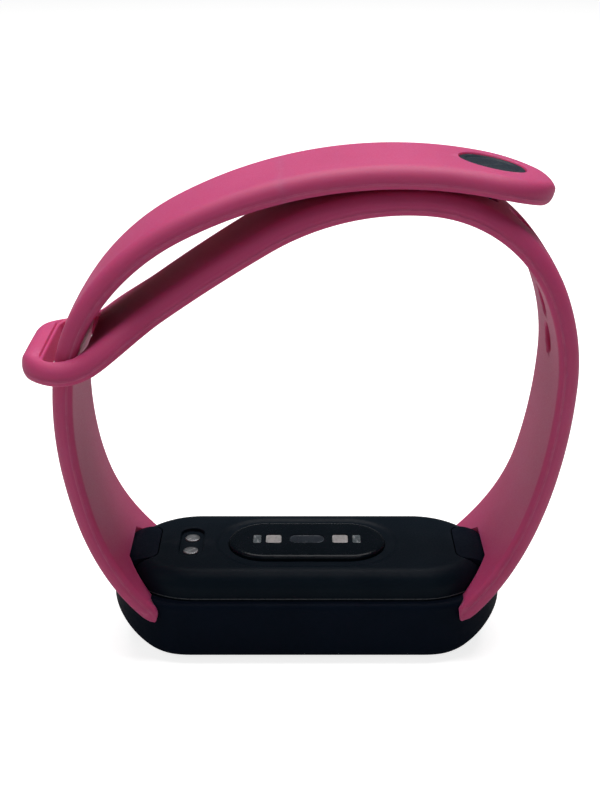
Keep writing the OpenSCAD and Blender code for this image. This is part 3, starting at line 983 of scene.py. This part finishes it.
@dataclass
class Strap:
    """What both straps share: their section and their root at the holder."""

    line: BandLine
    inner: float
    outer: float
    width: float = 16.0
    root_width: float = 20.6
    root_length: float = 20.0
    outer_edge: float = 1.9
    inner_edge: float = 0.6
    crown: float = 0.12
    ridge: float = 0.05
    root_round: float = 1.4
    root_gap: float = 0.2
    parting: float = 0.62
    seam_half: float = 0.16
    step: float = 0.8
    least_step: float = 0.012

    @property
    def thickness(self) -> float:
        """Thickness of the band in mm."""
        return self.outer - self.inner

    def root_half(self, s: float) -> float:
        """Half width of the band, which narrows from its root."""
        return self.width / 2 + (self.root_width - self.width) / 2 * (1 - smooth(s / self.root_length))

    def rounded_share(self, s: float, left: float, end_round: float) -> float:
        """Share of the thickness where both ends are rounded.

        Args:
            s: Distance from the root, in mm.
            left: Distance from the other end, in mm.
            end_round: Rounding of the other end, in mm.

        Returns:
            The share, from the thinnest up to 1.
        """
        share = 1 - round_off(s, self.root_round) / self.root_round - round_off(left, end_round) / end_round
        return max(share, THINNEST)

    def section(self, half: float, share: float) -> list[Flat]:
        """Outline of the band's cross-section.

        Args:
            half: Half width in mm.
            share: Share of the full thickness, below 1 near a rounded end.

        Returns:
            Points across the band and out from its line.
        """
        middle = (self.inner + self.outer) / 2
        low = middle - self.thickness / 2 * share
        high = middle + self.thickness / 2 * share
        crown = self.crown * share
        outer = min(self.outer_edge * share, half * 0.9)
        inner = min(self.inner_edge * share, half * 0.9)
        parting = low + inner + (high - crown - outer - low - inner) * self.parting
        right: list[Flat] = []
        seam = self.seam_half
        for lift, push in ((-seam, 0.0), (-0.05, self.ridge), (0.05, self.ridge), (seam, 0.0)):
            right.append((half + push * share, parting + lift * share))
        for x, z in arc(0, 90, 7):
            right.append((half - outer + outer * x, high - crown - outer + outer * z))
        flat = half - outer
        top = [(x, high - crown * (x / flat) ** 2) for x in spread(flat, -flat, 12)[1:-1]]
        left = [(-x, z) for x, z in reversed(right)]
        low_left = [(-half + inner - inner * x, low + inner - inner * z) for x, z in arc(0, 90, 4)]
        bottom = [(x, low) for x in spread(inner - half, half - inner, 12)[1:-1]]
        low_right = [(-x, z) for x, z in reversed(low_left)]
        return right + top + left + low_left + bottom + low_right

    def sweep(
        self,
        name: str,
        start: float,
        end: float,
        form: Callable[[float], tuple[float, float]],
        stations: Sequence[float],
    ) -> bpy.types.Object:
        """Sweeps the section along the line.

        Args:
            name: The piece's name.
            start: Where the sweep starts, in mm along the line.
            end: Where it ends.
            form: Gives half width and thickness share at a place.
            stations: Extra places for rings.

        Returns:
            The closed piece.
        """
        count = max(int((end - start) / self.step), 1)
        wanted = [*spread(start, end, count), *stations]
        places = sorted({round(s, 4) for s in wanted if start <= s <= end})
        kept = [places[0]]
        for s in places[1:]:
            if s - kept[-1] > self.least_step or s == places[-1]:
                kept.append(s)
        return solid(name, [[self.line.point(s, a, o) for a, o in self.section(*form(s))] for s in kept])

    def trim_root(self, piece: bpy.types.Object) -> None:
        """Cuts the holder and the capsule's room out of the strap's root.

        Args:
            piece: The strap.
        """
        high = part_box("back_cover")[1] / MM
        levels = (-1.0, 4.0, high.z + 0.15)
        room = solid("cutter", [stadium(high.x - high.y, high.y + self.root_gap, z) for z in levels])
        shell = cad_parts["holder_frame"].data.copy()
        work = bmesh.new()
        work.from_mesh(shell)
        bmesh.ops.remove_doubles(work, verts=work.verts, dist=1e-7)
        work.to_mesh(shell)
        work.free()
        carve(piece, [room, stand("cutter", shell)])
        keep_largest(piece)


@dataclass
class StudStrap(Strap):
    """The strap whose tail carries the stud."""

    line: BandLine = BandLine(
        -18.2, 7.07, 139.5, ((26.6, -33.5), (44.6, -22.5), (17.6, -26.0), (27.6, -30.0), (54.6, -47.0)), -1
    )
    inner: float = 0.0
    outer: float = 2.8
    tip_radius: float = 7.9
    tip_round: float = 2.0
    stud_in: float = 7.7
    fold_near: float = 12.0
    fold_far: float = 36.0
    disc: float = 8.0
    disc_gap: float = 0.1
    disc_seat: float = 1.05
    disc_lip: float = 0.42
    post: float = 1.8
    post_gap: float = 0.02
    far_reach: float = 9.0
    near_reach: float = 7.0

    @property
    def stud_s(self) -> float:
        """Place of the stud along the tail."""
        return self.line.length - self.stud_in

    def form(self, s: float) -> tuple[float, float]:
        """Form of the band at a place along the tail.

        Args:
            s: Distance along the tail, in mm.

        Returns:
            Half width in mm and share of the thickness.
        """
        left = self.line.length - s
        share = self.rounded_share(s, left, self.tip_round)
        return self.root_half(s) - round_off(left, self.tip_radius), share

    def build(self, shop: Workshop) -> None:
        """Models the strap in two lengths that meet between its two folds.

        Args:
            shop: Gives the materials.
        """
        total = self.line.length
        near = self.stud_s - self.fold_near
        far = self.stud_s - self.fold_far
        split = (near + far) / 2
        stations = [self.root_round - e for e in rounded_ends(self.root_round, 6)]
        root = self.sweep("stud_strap_lower", END_MARGIN, split, self.form, stations)
        self.trim_root(root)
        ends = [total - e for e in rounded_ends(self.tip_radius, 22) + rounded_ends(self.tip_round, 8)]
        tip = self.sweep("stud_strap_upper", split, total - END_MARGIN, self.form, ends)
        lip = self.disc_lip
        levels = [(0.0, self.outer - self.disc_seat), (0.0, self.outer - lip)]
        levels += [(lip * (1 - x), self.outer - lip * (1 - z)) for x, z in arc(15, 90, 5)]
        levels.append((lip + 0.3, self.outer + 1.0))
        radius = self.disc / 2 + self.disc_gap
        recess = solid("cutter", [at_height(circle(radius + grow, 72), z) for grow, z in levels])
        bore_radius = self.post / 2 + self.post_gap
        bore = lathe("cutter", [(bore_radius, -1.0), (bore_radius, 4.0)])
        for cutter in (recess, bore):
            cutter.matrix_world = self.line.place(self.stud_s)
        carve(tip, [recess, bore])
        for piece, bodies, fold, span in (
            (root, ("holder", "band_fold"), far, self.far_reach),
            (tip, ("band_fold", "band_tip"), near, self.near_reach),
        ):
            shop.complete(piece, ELASTOMER)
            start, end = (Vector(self.line.point(fold + d, 0.0, self.outer / 2)) * MM for d in (-span, span))
            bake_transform(piece)
        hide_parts("stud_strap_base", "stud_strap_mid")
        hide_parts("stud_strap_tip", "stud_strap_mid")


@dataclass
class LoopStrap(Strap):
    """The strap with the adjustment holes and the end loop that the tail passes through."""

    line: BandLine = BandLine(
        20.3, 5.15, 42.0,
        (
            (34.4, 33.5), (66.4, 12.5), (28.4, 25.0), (19.4, 62.5),
            (33.4, 35.5), (201.0, 7.0), (6.6, -38.0), (60.0, -9.0),
        ),
        1,
    )
    inner: float = -2.8
    outer: float = 0.0
    slot_far: float = -31.73
    slot_near: float = -26.33
    slot_width: float = 16.8
    slot_corner: float = 2.5
    side_bar: float = 2.0
    end_bar: float = 2.7
    flare_back: float = 18.0
    flare_length: float = 9.0
    loop_corner: float = 6.6
    loop_round: float = 1.6
    hole: float = 3.7
    hole_pitch: float = 5.5
    holes_before: int = 4
    holes_after: int = 2
    hole_lip: float = 0.28
    slot_lip: float = 0.3
    retries: tuple[float, ...] = (0.0, 2.0, 3.7, 5.9, 8.3)

    @cached_property
    def total(self) -> float:
        """Length of the strap, up to the outside of its end bar."""
        whole = self.line.length
        return bisect(lambda s: self.slot_far - self.end_bar - self.line.at(s)[0], whole - 16, whole + 6)

    def form(self, s: float) -> tuple[float, float]:
        """Form of the band at a place along the strap.

        Args:
            s: Distance along the strap, in mm.

        Returns:
            Half width in mm and share of the thickness.
        """
        left = self.total - s
        share = self.rounded_share(s, left, self.loop_round)
        widened = self.slot_width + 2 * self.side_bar - self.width
        flare = widened / 2 * smooth((s - self.total + self.flare_back) / self.flare_length)
        return self.root_half(s) + flare - round_off(left, self.loop_corner), share

    def build(self, shop: Workshop, stud: "StudStrap") -> None:
        """Models the strap, its holes and its slot.

        Args:
            shop: Gives the materials.
            stud: The other strap, whose stud goes through one of the holes.
        """
        total = self.total
        ends = [total - e for e in rounded_ends(self.loop_corner, 10) + rounded_ends(self.loop_round, 8)]
        strap = self.sweep("loop_strap_band", END_MARGIN, total - END_MARGIN, self.form, ends + [2.0])
        self.trim_root(strap)
        middle = Vector(stud.line.point(stud.stud_s, 0.0, stud.outer / 2))
        _, _, heading = stud.line.at(stud.stud_s)
        along = Vector((math.cos(heading), 0.0, math.sin(heading)))

        def ahead(s: float) -> float:
            """Distance of a place on this strap from the stud's axis.

            Args:
                s: Distance along the strap, in mm.

            Returns:
                The distance, below 0 on the near side.
            """
            x, z, _ = self.line.at(s)
            return (Vector((x, 0.0, z)) - middle).dot(along)

        engaged = bisect(ahead, 45.0, 75.0)
        cutters = []
        for i in range(-self.holes_before, self.holes_after + 1):
            if i == 0:
                cutter = lathe("cutter", [(self.hole / 2, -8.5), (self.hole / 2, -1.2)], 48)
                cutter.matrix_world = stud.line.place(stud.stud_s, stud.outer / 2)
            else:
                cutter = flared_cutter(
                    lambda grow: circle(self.hole / 2 + grow), self.thickness, self.hole_lip
                )
                cutter.matrix_world = self.line.place(engaged + i * self.hole_pitch)
            cutters.append(cutter)
        center = (self.slot_far + self.slot_near) / 2
        slot_s = bisect(lambda s: center - self.line.at(s)[0], total - 12, total)
        half = (self.slot_near - self.slot_far) / 2
        slot = flared_cutter(
            lambda grow: rounded_box(half + grow, self.slot_width / 2 + grow, self.slot_corner + grow),
            self.thickness,
            self.slot_lip,
        )
        slot.matrix_world = self.line.place(slot_s)
        carve(strap, [slot])
        carve(strap, cutters, self.retries)
        keep_largest(strap)
        shop.complete(strap, ELASTOMER)
        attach(strap, "holder")
        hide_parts("loop_strap")
        log.info("%s: stud in the hole at %.1f mm", strap.name, engaged)


@dataclass
class ClosureStud:
    """The stud: a dished disc with its post, and the button that snaps through a hole."""

    disc: float = 8.0
    disc_thickness: float = 0.8
    sink: float = 0.25
    post: float = 1.8
    button: float = 2.9
    button_thickness: float = 1.5
    button_base: float = -4.715
    rim_round: float = 0.2
    # Radius, and depth below the rim, of the dished face with its ring
    dish: tuple[Flat, ...] = (
        (0.02, 0.16), (1.2, 0.155), (2.4, 0.13), (2.95, 0.10), (3.08, 0.16),
        (3.22, 0.17), (3.32, 0.10), (3.40, 0.02), (3.48, 0.0),
    )
    # Radius, and height above its foot, of the button's face
    button_face: tuple[Flat, ...] = ((0.02, 0.0), (0.7, 0.02), (1.2, 0.1))

    def build(self, shop: Workshop, strap: StudStrap) -> None:
        """Turns both pieces and sets them into the tail.

        Args:
            shop: Gives the materials.
            strap: The strap that carries the stud.
        """
        top = strap.thickness / 2 - self.sink
        under = top - self.disc_thickness
        r = self.disc / 2
        rim = self.rim_round
        bend = arc(0, 90, 6)
        cap_profile = [(radius, top - drop) for radius, drop in self.dish]
        cap_profile += [(r - rim, top)]
        cap_profile += [(r - rim + rim * y, top - rim + rim * x) for x, y in bend[1:]]
        cap_profile += [(r, under + 0.1), (r - 0.1, under), (self.post / 2 + 0.15, under)]
        neck = self.button_base + self.button_thickness
        cap_profile += [(self.post / 2, under - 0.15), (self.post / 2, neck)]
        cap = lathe("stud_disc_and_post", cap_profile, 96)
        b = self.button / 2
        base = self.button_base
        button_profile = [(radius, base + rise) for radius, rise in self.button_face]
        button_profile += [(b - 0.45 + 0.45 * y, base + 0.55 - 0.45 * x) for x, y in bend[1:]]
        button_profile += [(b, neck - 0.4), (b - 0.12, neck - 0.15), (b - 0.35, neck), (0.02, neck)]
        button = lathe("stud_snap_button", button_profile, 72)
        for piece, node in ((cap, "stud_cap"), (button, "stud_button")):
            piece.matrix_world = strap.line.place(strap.stud_s, strap.outer / 2)
            shop.complete(piece, STUD, 40)
            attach(piece, "band_tip")
            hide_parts(node)


# ---------------------------------------------------------------- the capsule


@dataclass
class SensorBack:
    """The capsule's back cover with its lens, windows and charging contacts."""

    seam: float = 6.0
    edge: float = 2.4
    line_z: float = 8.68
    line_width: float = 0.13
    wall: float = 1.2
    lens_reach: float = 5.3
    lens_radius: float = 4.9
    lens_seat: float = 11.5
    lens_step: float = 1.0
    gap: float = 0.1
    moat: float = 2.0
    moat_depth: float = 0.25
    line_rise: float = 0.04
    roof_reach: float = 10.3
    # Radius, and depth below the cover's top, of the room under its roof
    roof: tuple[Flat, ...] = ((7.0, 1.0), (7.6, 1.4), (8.0, 2.2))
    lens_round: float = 0.85
    # Radius, and depth below the lens's top, of its slight crown
    lens_crown: tuple[Flat, ...] = ((3.2, 0.018), (2.2, 0.008), (1.2, 0.0))
    window_half: float = 1.15
    window_top: float = 12.41
    window_low: float = 11.0
    # Inset, and depth below its top, of a pane's bevel and sunk middle
    pane_edge: tuple[Flat, ...] = (
        (0.03, 0.06), (0.05, 0.02), (0.10, 0.0), (0.20, 0.0), (0.26, 0.03), (0.32, 0.035),
    )
    tab_inset: float = 4.35
    tab_half: float = 4.55
    tab_floor: float = 10.75
    tab_corner: float = 1.65
    tab_reach: float = 5.0
    contact_x: float = -15.1
    contact_pitch: float = 3.5
    contact_radius: float = 0.975
    stem_radius: float = 0.675
    stem_gap: float = 0.02
    # Radius, and height above the pocket's floor, of a contact's domed face
    contact_face: tuple[Flat, ...] = ((0.02, 0.2), (0.6, 0.197), (0.84, 0.19), (0.93, 0.16))
    pocket_depth: float = 0.5
    pocket_half: float = 3.925
    pocket_radius: float = 1.525
    pocket_lip: float = 0.16
    windows: dict[str, tuple[tuple[float, float, float], ...]] = field(
        default_factory=lambda: {
            "led_window": ((0.0, 2.3, 0.95),),
            "photodiode_windows": ((-4.35, 1.05, 0.4), (4.35, 1.05, 0.4)),
            "side_windows": ((-6.5, 0.55, 0.25), (6.5, 0.55, 0.25)),
        }
    )

    def measure(self) -> None:
        """Takes the cover's outer sizes from the frame."""
        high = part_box("back_cover")[1] / MM
        self.radius = high.y
        self.reach = high.x - high.y
        self.top = high.z

    def cover(self, shop: Workshop) -> None:
        """Models the back cover: one closed shell with its moat, pocket, lens seat and tab recesses.

        Args:
            shop: Gives the materials.
        """
        reach, r, top = self.reach, self.radius, self.top
        low = top - self.edge
        line, line_top, raised = self.line_z, self.line_z + self.line_width, r + self.line_rise
        rings: list[Point] = [(reach, r - 0.1, self.seam), (reach, r, self.seam + 0.1)]
        rings += [(reach, r, line - 0.05), (reach, raised, line), (reach, raised, line_top)]
        rings += [(reach, r, line_top + 0.05)]
        rings += [(reach, r - self.edge + self.edge * x, low + self.edge * z) for x, z in arc(0, 90, 14)]
        moat_outer = self.lens_radius + self.moat
        lens_edge = self.lens_radius + self.gap
        for share in (0.3, 0.65, 1.0):
            rings.append((reach + (self.lens_reach - reach) * share, moat_outer - 0.01 - 0.05 * share, top))
        for share in spread(0, 1, 9)[1:]:
            inward = moat_outer - 0.06 - (moat_outer - 0.06 - lens_edge) * share
            rings.append((self.lens_reach, inward, top - self.moat_depth * smooth(share * 2.4)))
        seat_hole = self.lens_radius + self.gap - self.lens_step
        rings += [(self.lens_reach, lens_edge, self.lens_seat), (self.lens_reach, seat_hole, self.lens_seat)]
        rings.append((self.lens_reach, seat_hole, top - self.roof[0][1]))
        rings += [(self.roof_reach, radius, top - drop) for radius, drop in self.roof]
        rings += [(reach, r - self.wall, top - self.edge), (reach, r - self.wall, self.seam)]
        cover = solid(
            "back_cover_shell", [stadium(c, radius, z, 36, 28) for c, radius, z in rings], closed=True
        )
        cutters = []
        middle = reach + r - self.tab_inset + self.tab_reach
        outline = rounded_box(self.tab_reach, self.tab_half, self.tab_corner, 8)
        for side in (1, -1):
            tab = [[(side * (middle + x), y, z) for x, y in outline] for z in (self.tab_floor, top + 1)]
            cutters.append(solid("cutter", tab))
        depth, lip = self.pocket_depth, self.pocket_lip
        levels = [(-0.12, -depth), (-0.04, -depth + 0.04), (0.0, -depth + 0.12), (0.0, -lip)]
        levels += [(lip * (1 - x), -lip * (1 - z)) for x, z in arc(20, 90, 4)]
        levels.append((lip, 1.0))
        straight = self.pocket_half - self.pocket_radius
        pocket = []
        for grow, height in levels:
            ring = stadium(straight, self.pocket_radius + grow, top + height, 20, 6)
            pocket.append([(self.contact_x - y, x, z) for x, y, z in ring])
        cutters.append(solid("cutter", pocket))
        bore_radius = self.stem_radius + self.stem_gap
        for side in (1, -1):
            bore = lathe("cutter", [(bore_radius, top - 3), (bore_radius, top + 1)], 32)
            bore.location = Vector((self.contact_x, side * self.contact_pitch / 2, 0)) * MM
            cutters.append(bore)
        carve(cover, cutters)
        shop.complete(cover, COVER_SKIN)
        # The thin lip's outer faces along the sides get the light grey: a painted glint along the capsule's
        # edge.
        cover.data.materials.append(shop.material(PAINTED_SEAM_GLINT))
        for face in cover.data.polygons:
            center = face.center / MM
            if line <= center.z <= line_top and abs(face.normal.z) < 0.2:
                if Vector((center.x, center.y)).length > r - 0.2 and abs(center.y) > r - 2.3:
                    face.material_index = 1
        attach(cover, "tracker")
        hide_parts("back_cover")

    def lens(self, shop: Workshop) -> None:
        """Models the raised lens with a soft edge and a slight crown, open for its windows.

        Args:
            shop: Gives the materials.
        """
        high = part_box("sensor_lens")[1].z / MM
        reach, r = self.lens_reach, self.lens_radius
        rings = [(reach, r - self.lens_step, self.window_low), (reach, r - self.lens_step, self.lens_seat)]
        rings += [(reach, r, self.lens_seat), (reach, r, high - 0.42)]
        edge = self.lens_round
        rings += [(reach, r - edge + edge * x, high - 0.44 + 0.41 * z) for x, z in arc(0, 90, 9)[1:]]
        rings += [(reach, radius, high - drop) for radius, drop in self.lens_crown]
        lens = solid("lens_island", [stadium(c, radius, z, 32, 24) for c, radius, z in rings])
        cutters = []
        for places in self.windows.values():
            for x, half, corner in places:
                outline = rounded_box(half, self.window_half, corner)
                hole = [[(x + px, py, z) for px, py in outline] for z in (self.window_low - 1, high + 1)]
                cutters.append(solid("cutter", hole))
        carve(lens, cutters)
        shop.complete(lens, LENS, 30)
        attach(lens, "tracker")
        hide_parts("sensor_lens")

    def window_panes(self, shop: Workshop) -> None:
        """Models the windows as clear-edged panes with a bevel and a slightly sunk middle.

        Args:
            shop: Gives the materials.
        """
        finishes = {
            "led_window": WINDOW_DARK,
            "photodiode_windows": WINDOW_LIGHT,
            "side_windows": WINDOW_GREY,
        }
        levels = [(self.pane_edge[0][0], self.window_low)]
        levels += [(inset, self.window_top - drop) for inset, drop in self.pane_edge]
        for node, places in self.windows.items():
            draft = Draft()
            for x, half, corner in places:
                rings = []
                for inset, z in levels:
                    round_corner = max(corner - inset * 0.7, 0.06)
                    outline = rounded_box(half - inset, self.window_half - inset, round_corner)
                    rings.append([(x + px, py, z) for px, py in outline])
                draft.skin(rings)
            pane = draft.build(node.replace("window", "pane"))
            shop.complete(pane, finishes[node], 30)
            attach(pane, "tracker")
            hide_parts(node)

    def contacts(self, shop: Workshop) -> None:
        """Models the two charging contacts as turned pins with domed faces.

        Args:
            shop: Gives the materials.
        """
        floor = self.top - self.pocket_depth
        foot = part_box("contact_pins")[0].z / MM
        r, stem = self.contact_radius, self.stem_radius
        profile = [(radius, floor + rise) for radius, rise in self.contact_face]
        profile += [(r, floor + 0.1), (r, floor), (stem, floor), (stem, foot + 0.1), (stem - 0.1, foot)]
        draft = Draft()
        for side in (1, -1):
            y = side * self.contact_pitch / 2
            draft.skin(
                [[(self.contact_x + px, y + py, z) for px, py in circle(pr, 48)] for pr, z in profile]
            )
        pins = draft.build("charging_contacts")
        shop.complete(pins, CONTACT, 35)
        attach(pins, "tracker")
        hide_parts("contact_pins")

    def build(self, shop: Workshop) -> None:
        """Builds the back of the capsule.

        Args:
            shop: Gives the materials.
        """
        self.measure()
        self.cover(shop)
        self.lens(shop)
        self.window_panes(shop)
        self.contacts(shop)


@dataclass
class CarriedPieces:
    """The CAD pieces that keep their shape: the holder, the front of the capsule and all that is inside."""

    def build(self, shop: Workshop) -> None:
        """Gives each of them its finish and smooth shading.

        Args:
            shop: Gives the materials.
        """
        for name, finish in CARRIED_FINISHES.items():
            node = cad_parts[name]
            shop.dress(node, finish)
            node.data.shade_smooth()
            node.data.set_sharp_from_angle(angle=math.radians(CRISP))
            log.info("%s: CAD shape, finish %s", name, finish.slot)


# ---------------------------------------------------------------- studio


@dataclass
class Softbox:
    """One soft area light."""

    name: str
    place: Point
    aim: Point
    width: float
    height: float
    power: float
    color: Color = (1.0, 1.0, 1.0)

    def build(self) -> None:
        """Hangs the light and turns it to its aim."""
        data = bpy.data.lights.new(self.name, "AREA")
        data.shape = "RECTANGLE"
        data.size, data.size_y = self.width, self.height
        data.energy = self.power
        data.color = self.color
        light = stand(self.name, data)
        light.location = self.place
        light.rotation_euler = (Vector(self.aim) - Vector(self.place)).to_track_quat("-Z", "Y").to_euler()


@dataclass
class Studio:
    """Camera, pale floor and plain soft light."""

    camera_place: Point = (-0.0009, -0.160, 0.096)
    pitch: float = 21.8
    lens: float = 61.65
    floor_size: float = 4.0
    floor_tone: float = 0.72
    floor_glow: float = 0.8
    room_light: float = 0.07
    softboxes: tuple[Softbox, ...] = (
        Softbox("softbox_above", (0.02, 0.12, 0.60), (0.0, 0.0, 0.03), 0.55, 0.45, 4.3),
        Softbox("softbox_left", (-0.45, -0.20, 0.35), (0.0, 0.0, 0.03), 0.35, 0.35, 0.3),
        Softbox("softbox_front", (0.10, -0.60, 0.30), (0.0, 0.0, 0.03), 0.50, 0.30, 0.2),
    )

    def camera(self) -> None:
        """Sets up the camera."""
        data = bpy.data.cameras.new("camera")
        data.lens = self.lens
        data.sensor_width = 36.0
        data.clip_start = 0.005
        data.clip_end = 20.0
        camera = stand("camera", data)
        camera.location = self.camera_place
        camera.rotation_euler = (math.radians(90 - self.pitch), 0.0, 0.0)
        bpy.context.scene.camera = camera

    def floor(self) -> None:
        """Lays the pale floor."""
        half = self.floor_size / 2
        mesh = bpy.data.meshes.new("floor")
        steps = spread(-half, half, 8)
        points = [(x, y, 0.0) for y in steps for x in steps]
        row = len(steps)
        faces = [
            (j * row + i, j * row + i + 1, (j + 1) * row + i + 1, (j + 1) * row + i)
            for j in range(row - 1)
            for i in range(row - 1)
        ]
        mesh.from_pydata(points, [], faces)
        floor = stand("floor", mesh)
        paint = bpy.data.materials.new("pale_floor")
        paint.use_nodes = True
        nodes, links = paint.node_tree.nodes, paint.node_tree.links
        shader = nodes["Principled BSDF"]
        shader.inputs["Base Color"].default_value = (self.floor_tone, self.floor_tone, self.floor_tone, 1.0)
        shader.inputs["Roughness"].default_value = 0.9
        shader.inputs["Specular IOR Level"].default_value = 0.1
        shader.inputs["Emission Color"].default_value = (1.0, 1.0, 1.0, 1.0)
        seen = nodes.new("ShaderNodeLightPath")
        lift = nodes.new("ShaderNodeMath")
        lift.operation = "MULTIPLY"
        lift.inputs[1].default_value = self.floor_glow
        links.new(seen.outputs["Is Camera Ray"], lift.inputs[0])
        links.new(lift.outputs[0], shader.inputs["Emission Strength"])
        mesh.materials.append(paint)

    def room(self) -> None:
        """Fills the room with even light; the camera sees it white."""
        world = bpy.data.worlds.new("room")
        world.use_nodes = True
        nodes, links = world.node_tree.nodes, world.node_tree.links
        background = nodes["Background"]
        background.inputs["Color"].default_value = (1.0, 1.0, 1.0, 1.0)
        seen = nodes.new("ShaderNodeLightPath")
        strength = nodes.new("ShaderNodeMapRange")
        strength.inputs["To Min"].default_value = self.room_light
        strength.inputs["To Max"].default_value = 1.0
        links.new(seen.outputs["Is Camera Ray"], strength.inputs["Value"])
        links.new(strength.outputs["Result"], background.inputs["Strength"])
        bpy.context.scene.world = world

    def build(self) -> None:
        """Sets up the whole studio."""
        self.camera()
        self.floor()
        self.room()
        for softbox in self.softboxes:
            softbox.build()
        bpy.context.scene.view_settings.view_transform = "Standard"
        log.info("studio: %d soft lights", len(self.softboxes))


def main() -> None:
    """Builds the whole scene in order."""
    logging.basicConfig(level=logging.INFO, format="%(name)s: %(message)s")
    shop = Workshop()
    Studio().build()
    stud_strap = StudStrap()
    stud_strap.build(shop)
    LoopStrap().build(shop, stud_strap)
    ClosureStud().build(shop, stud_strap)
    SensorBack().build(shop)
    CarriedPieces().build(shop)


if __name__ == "__main__":
    main()
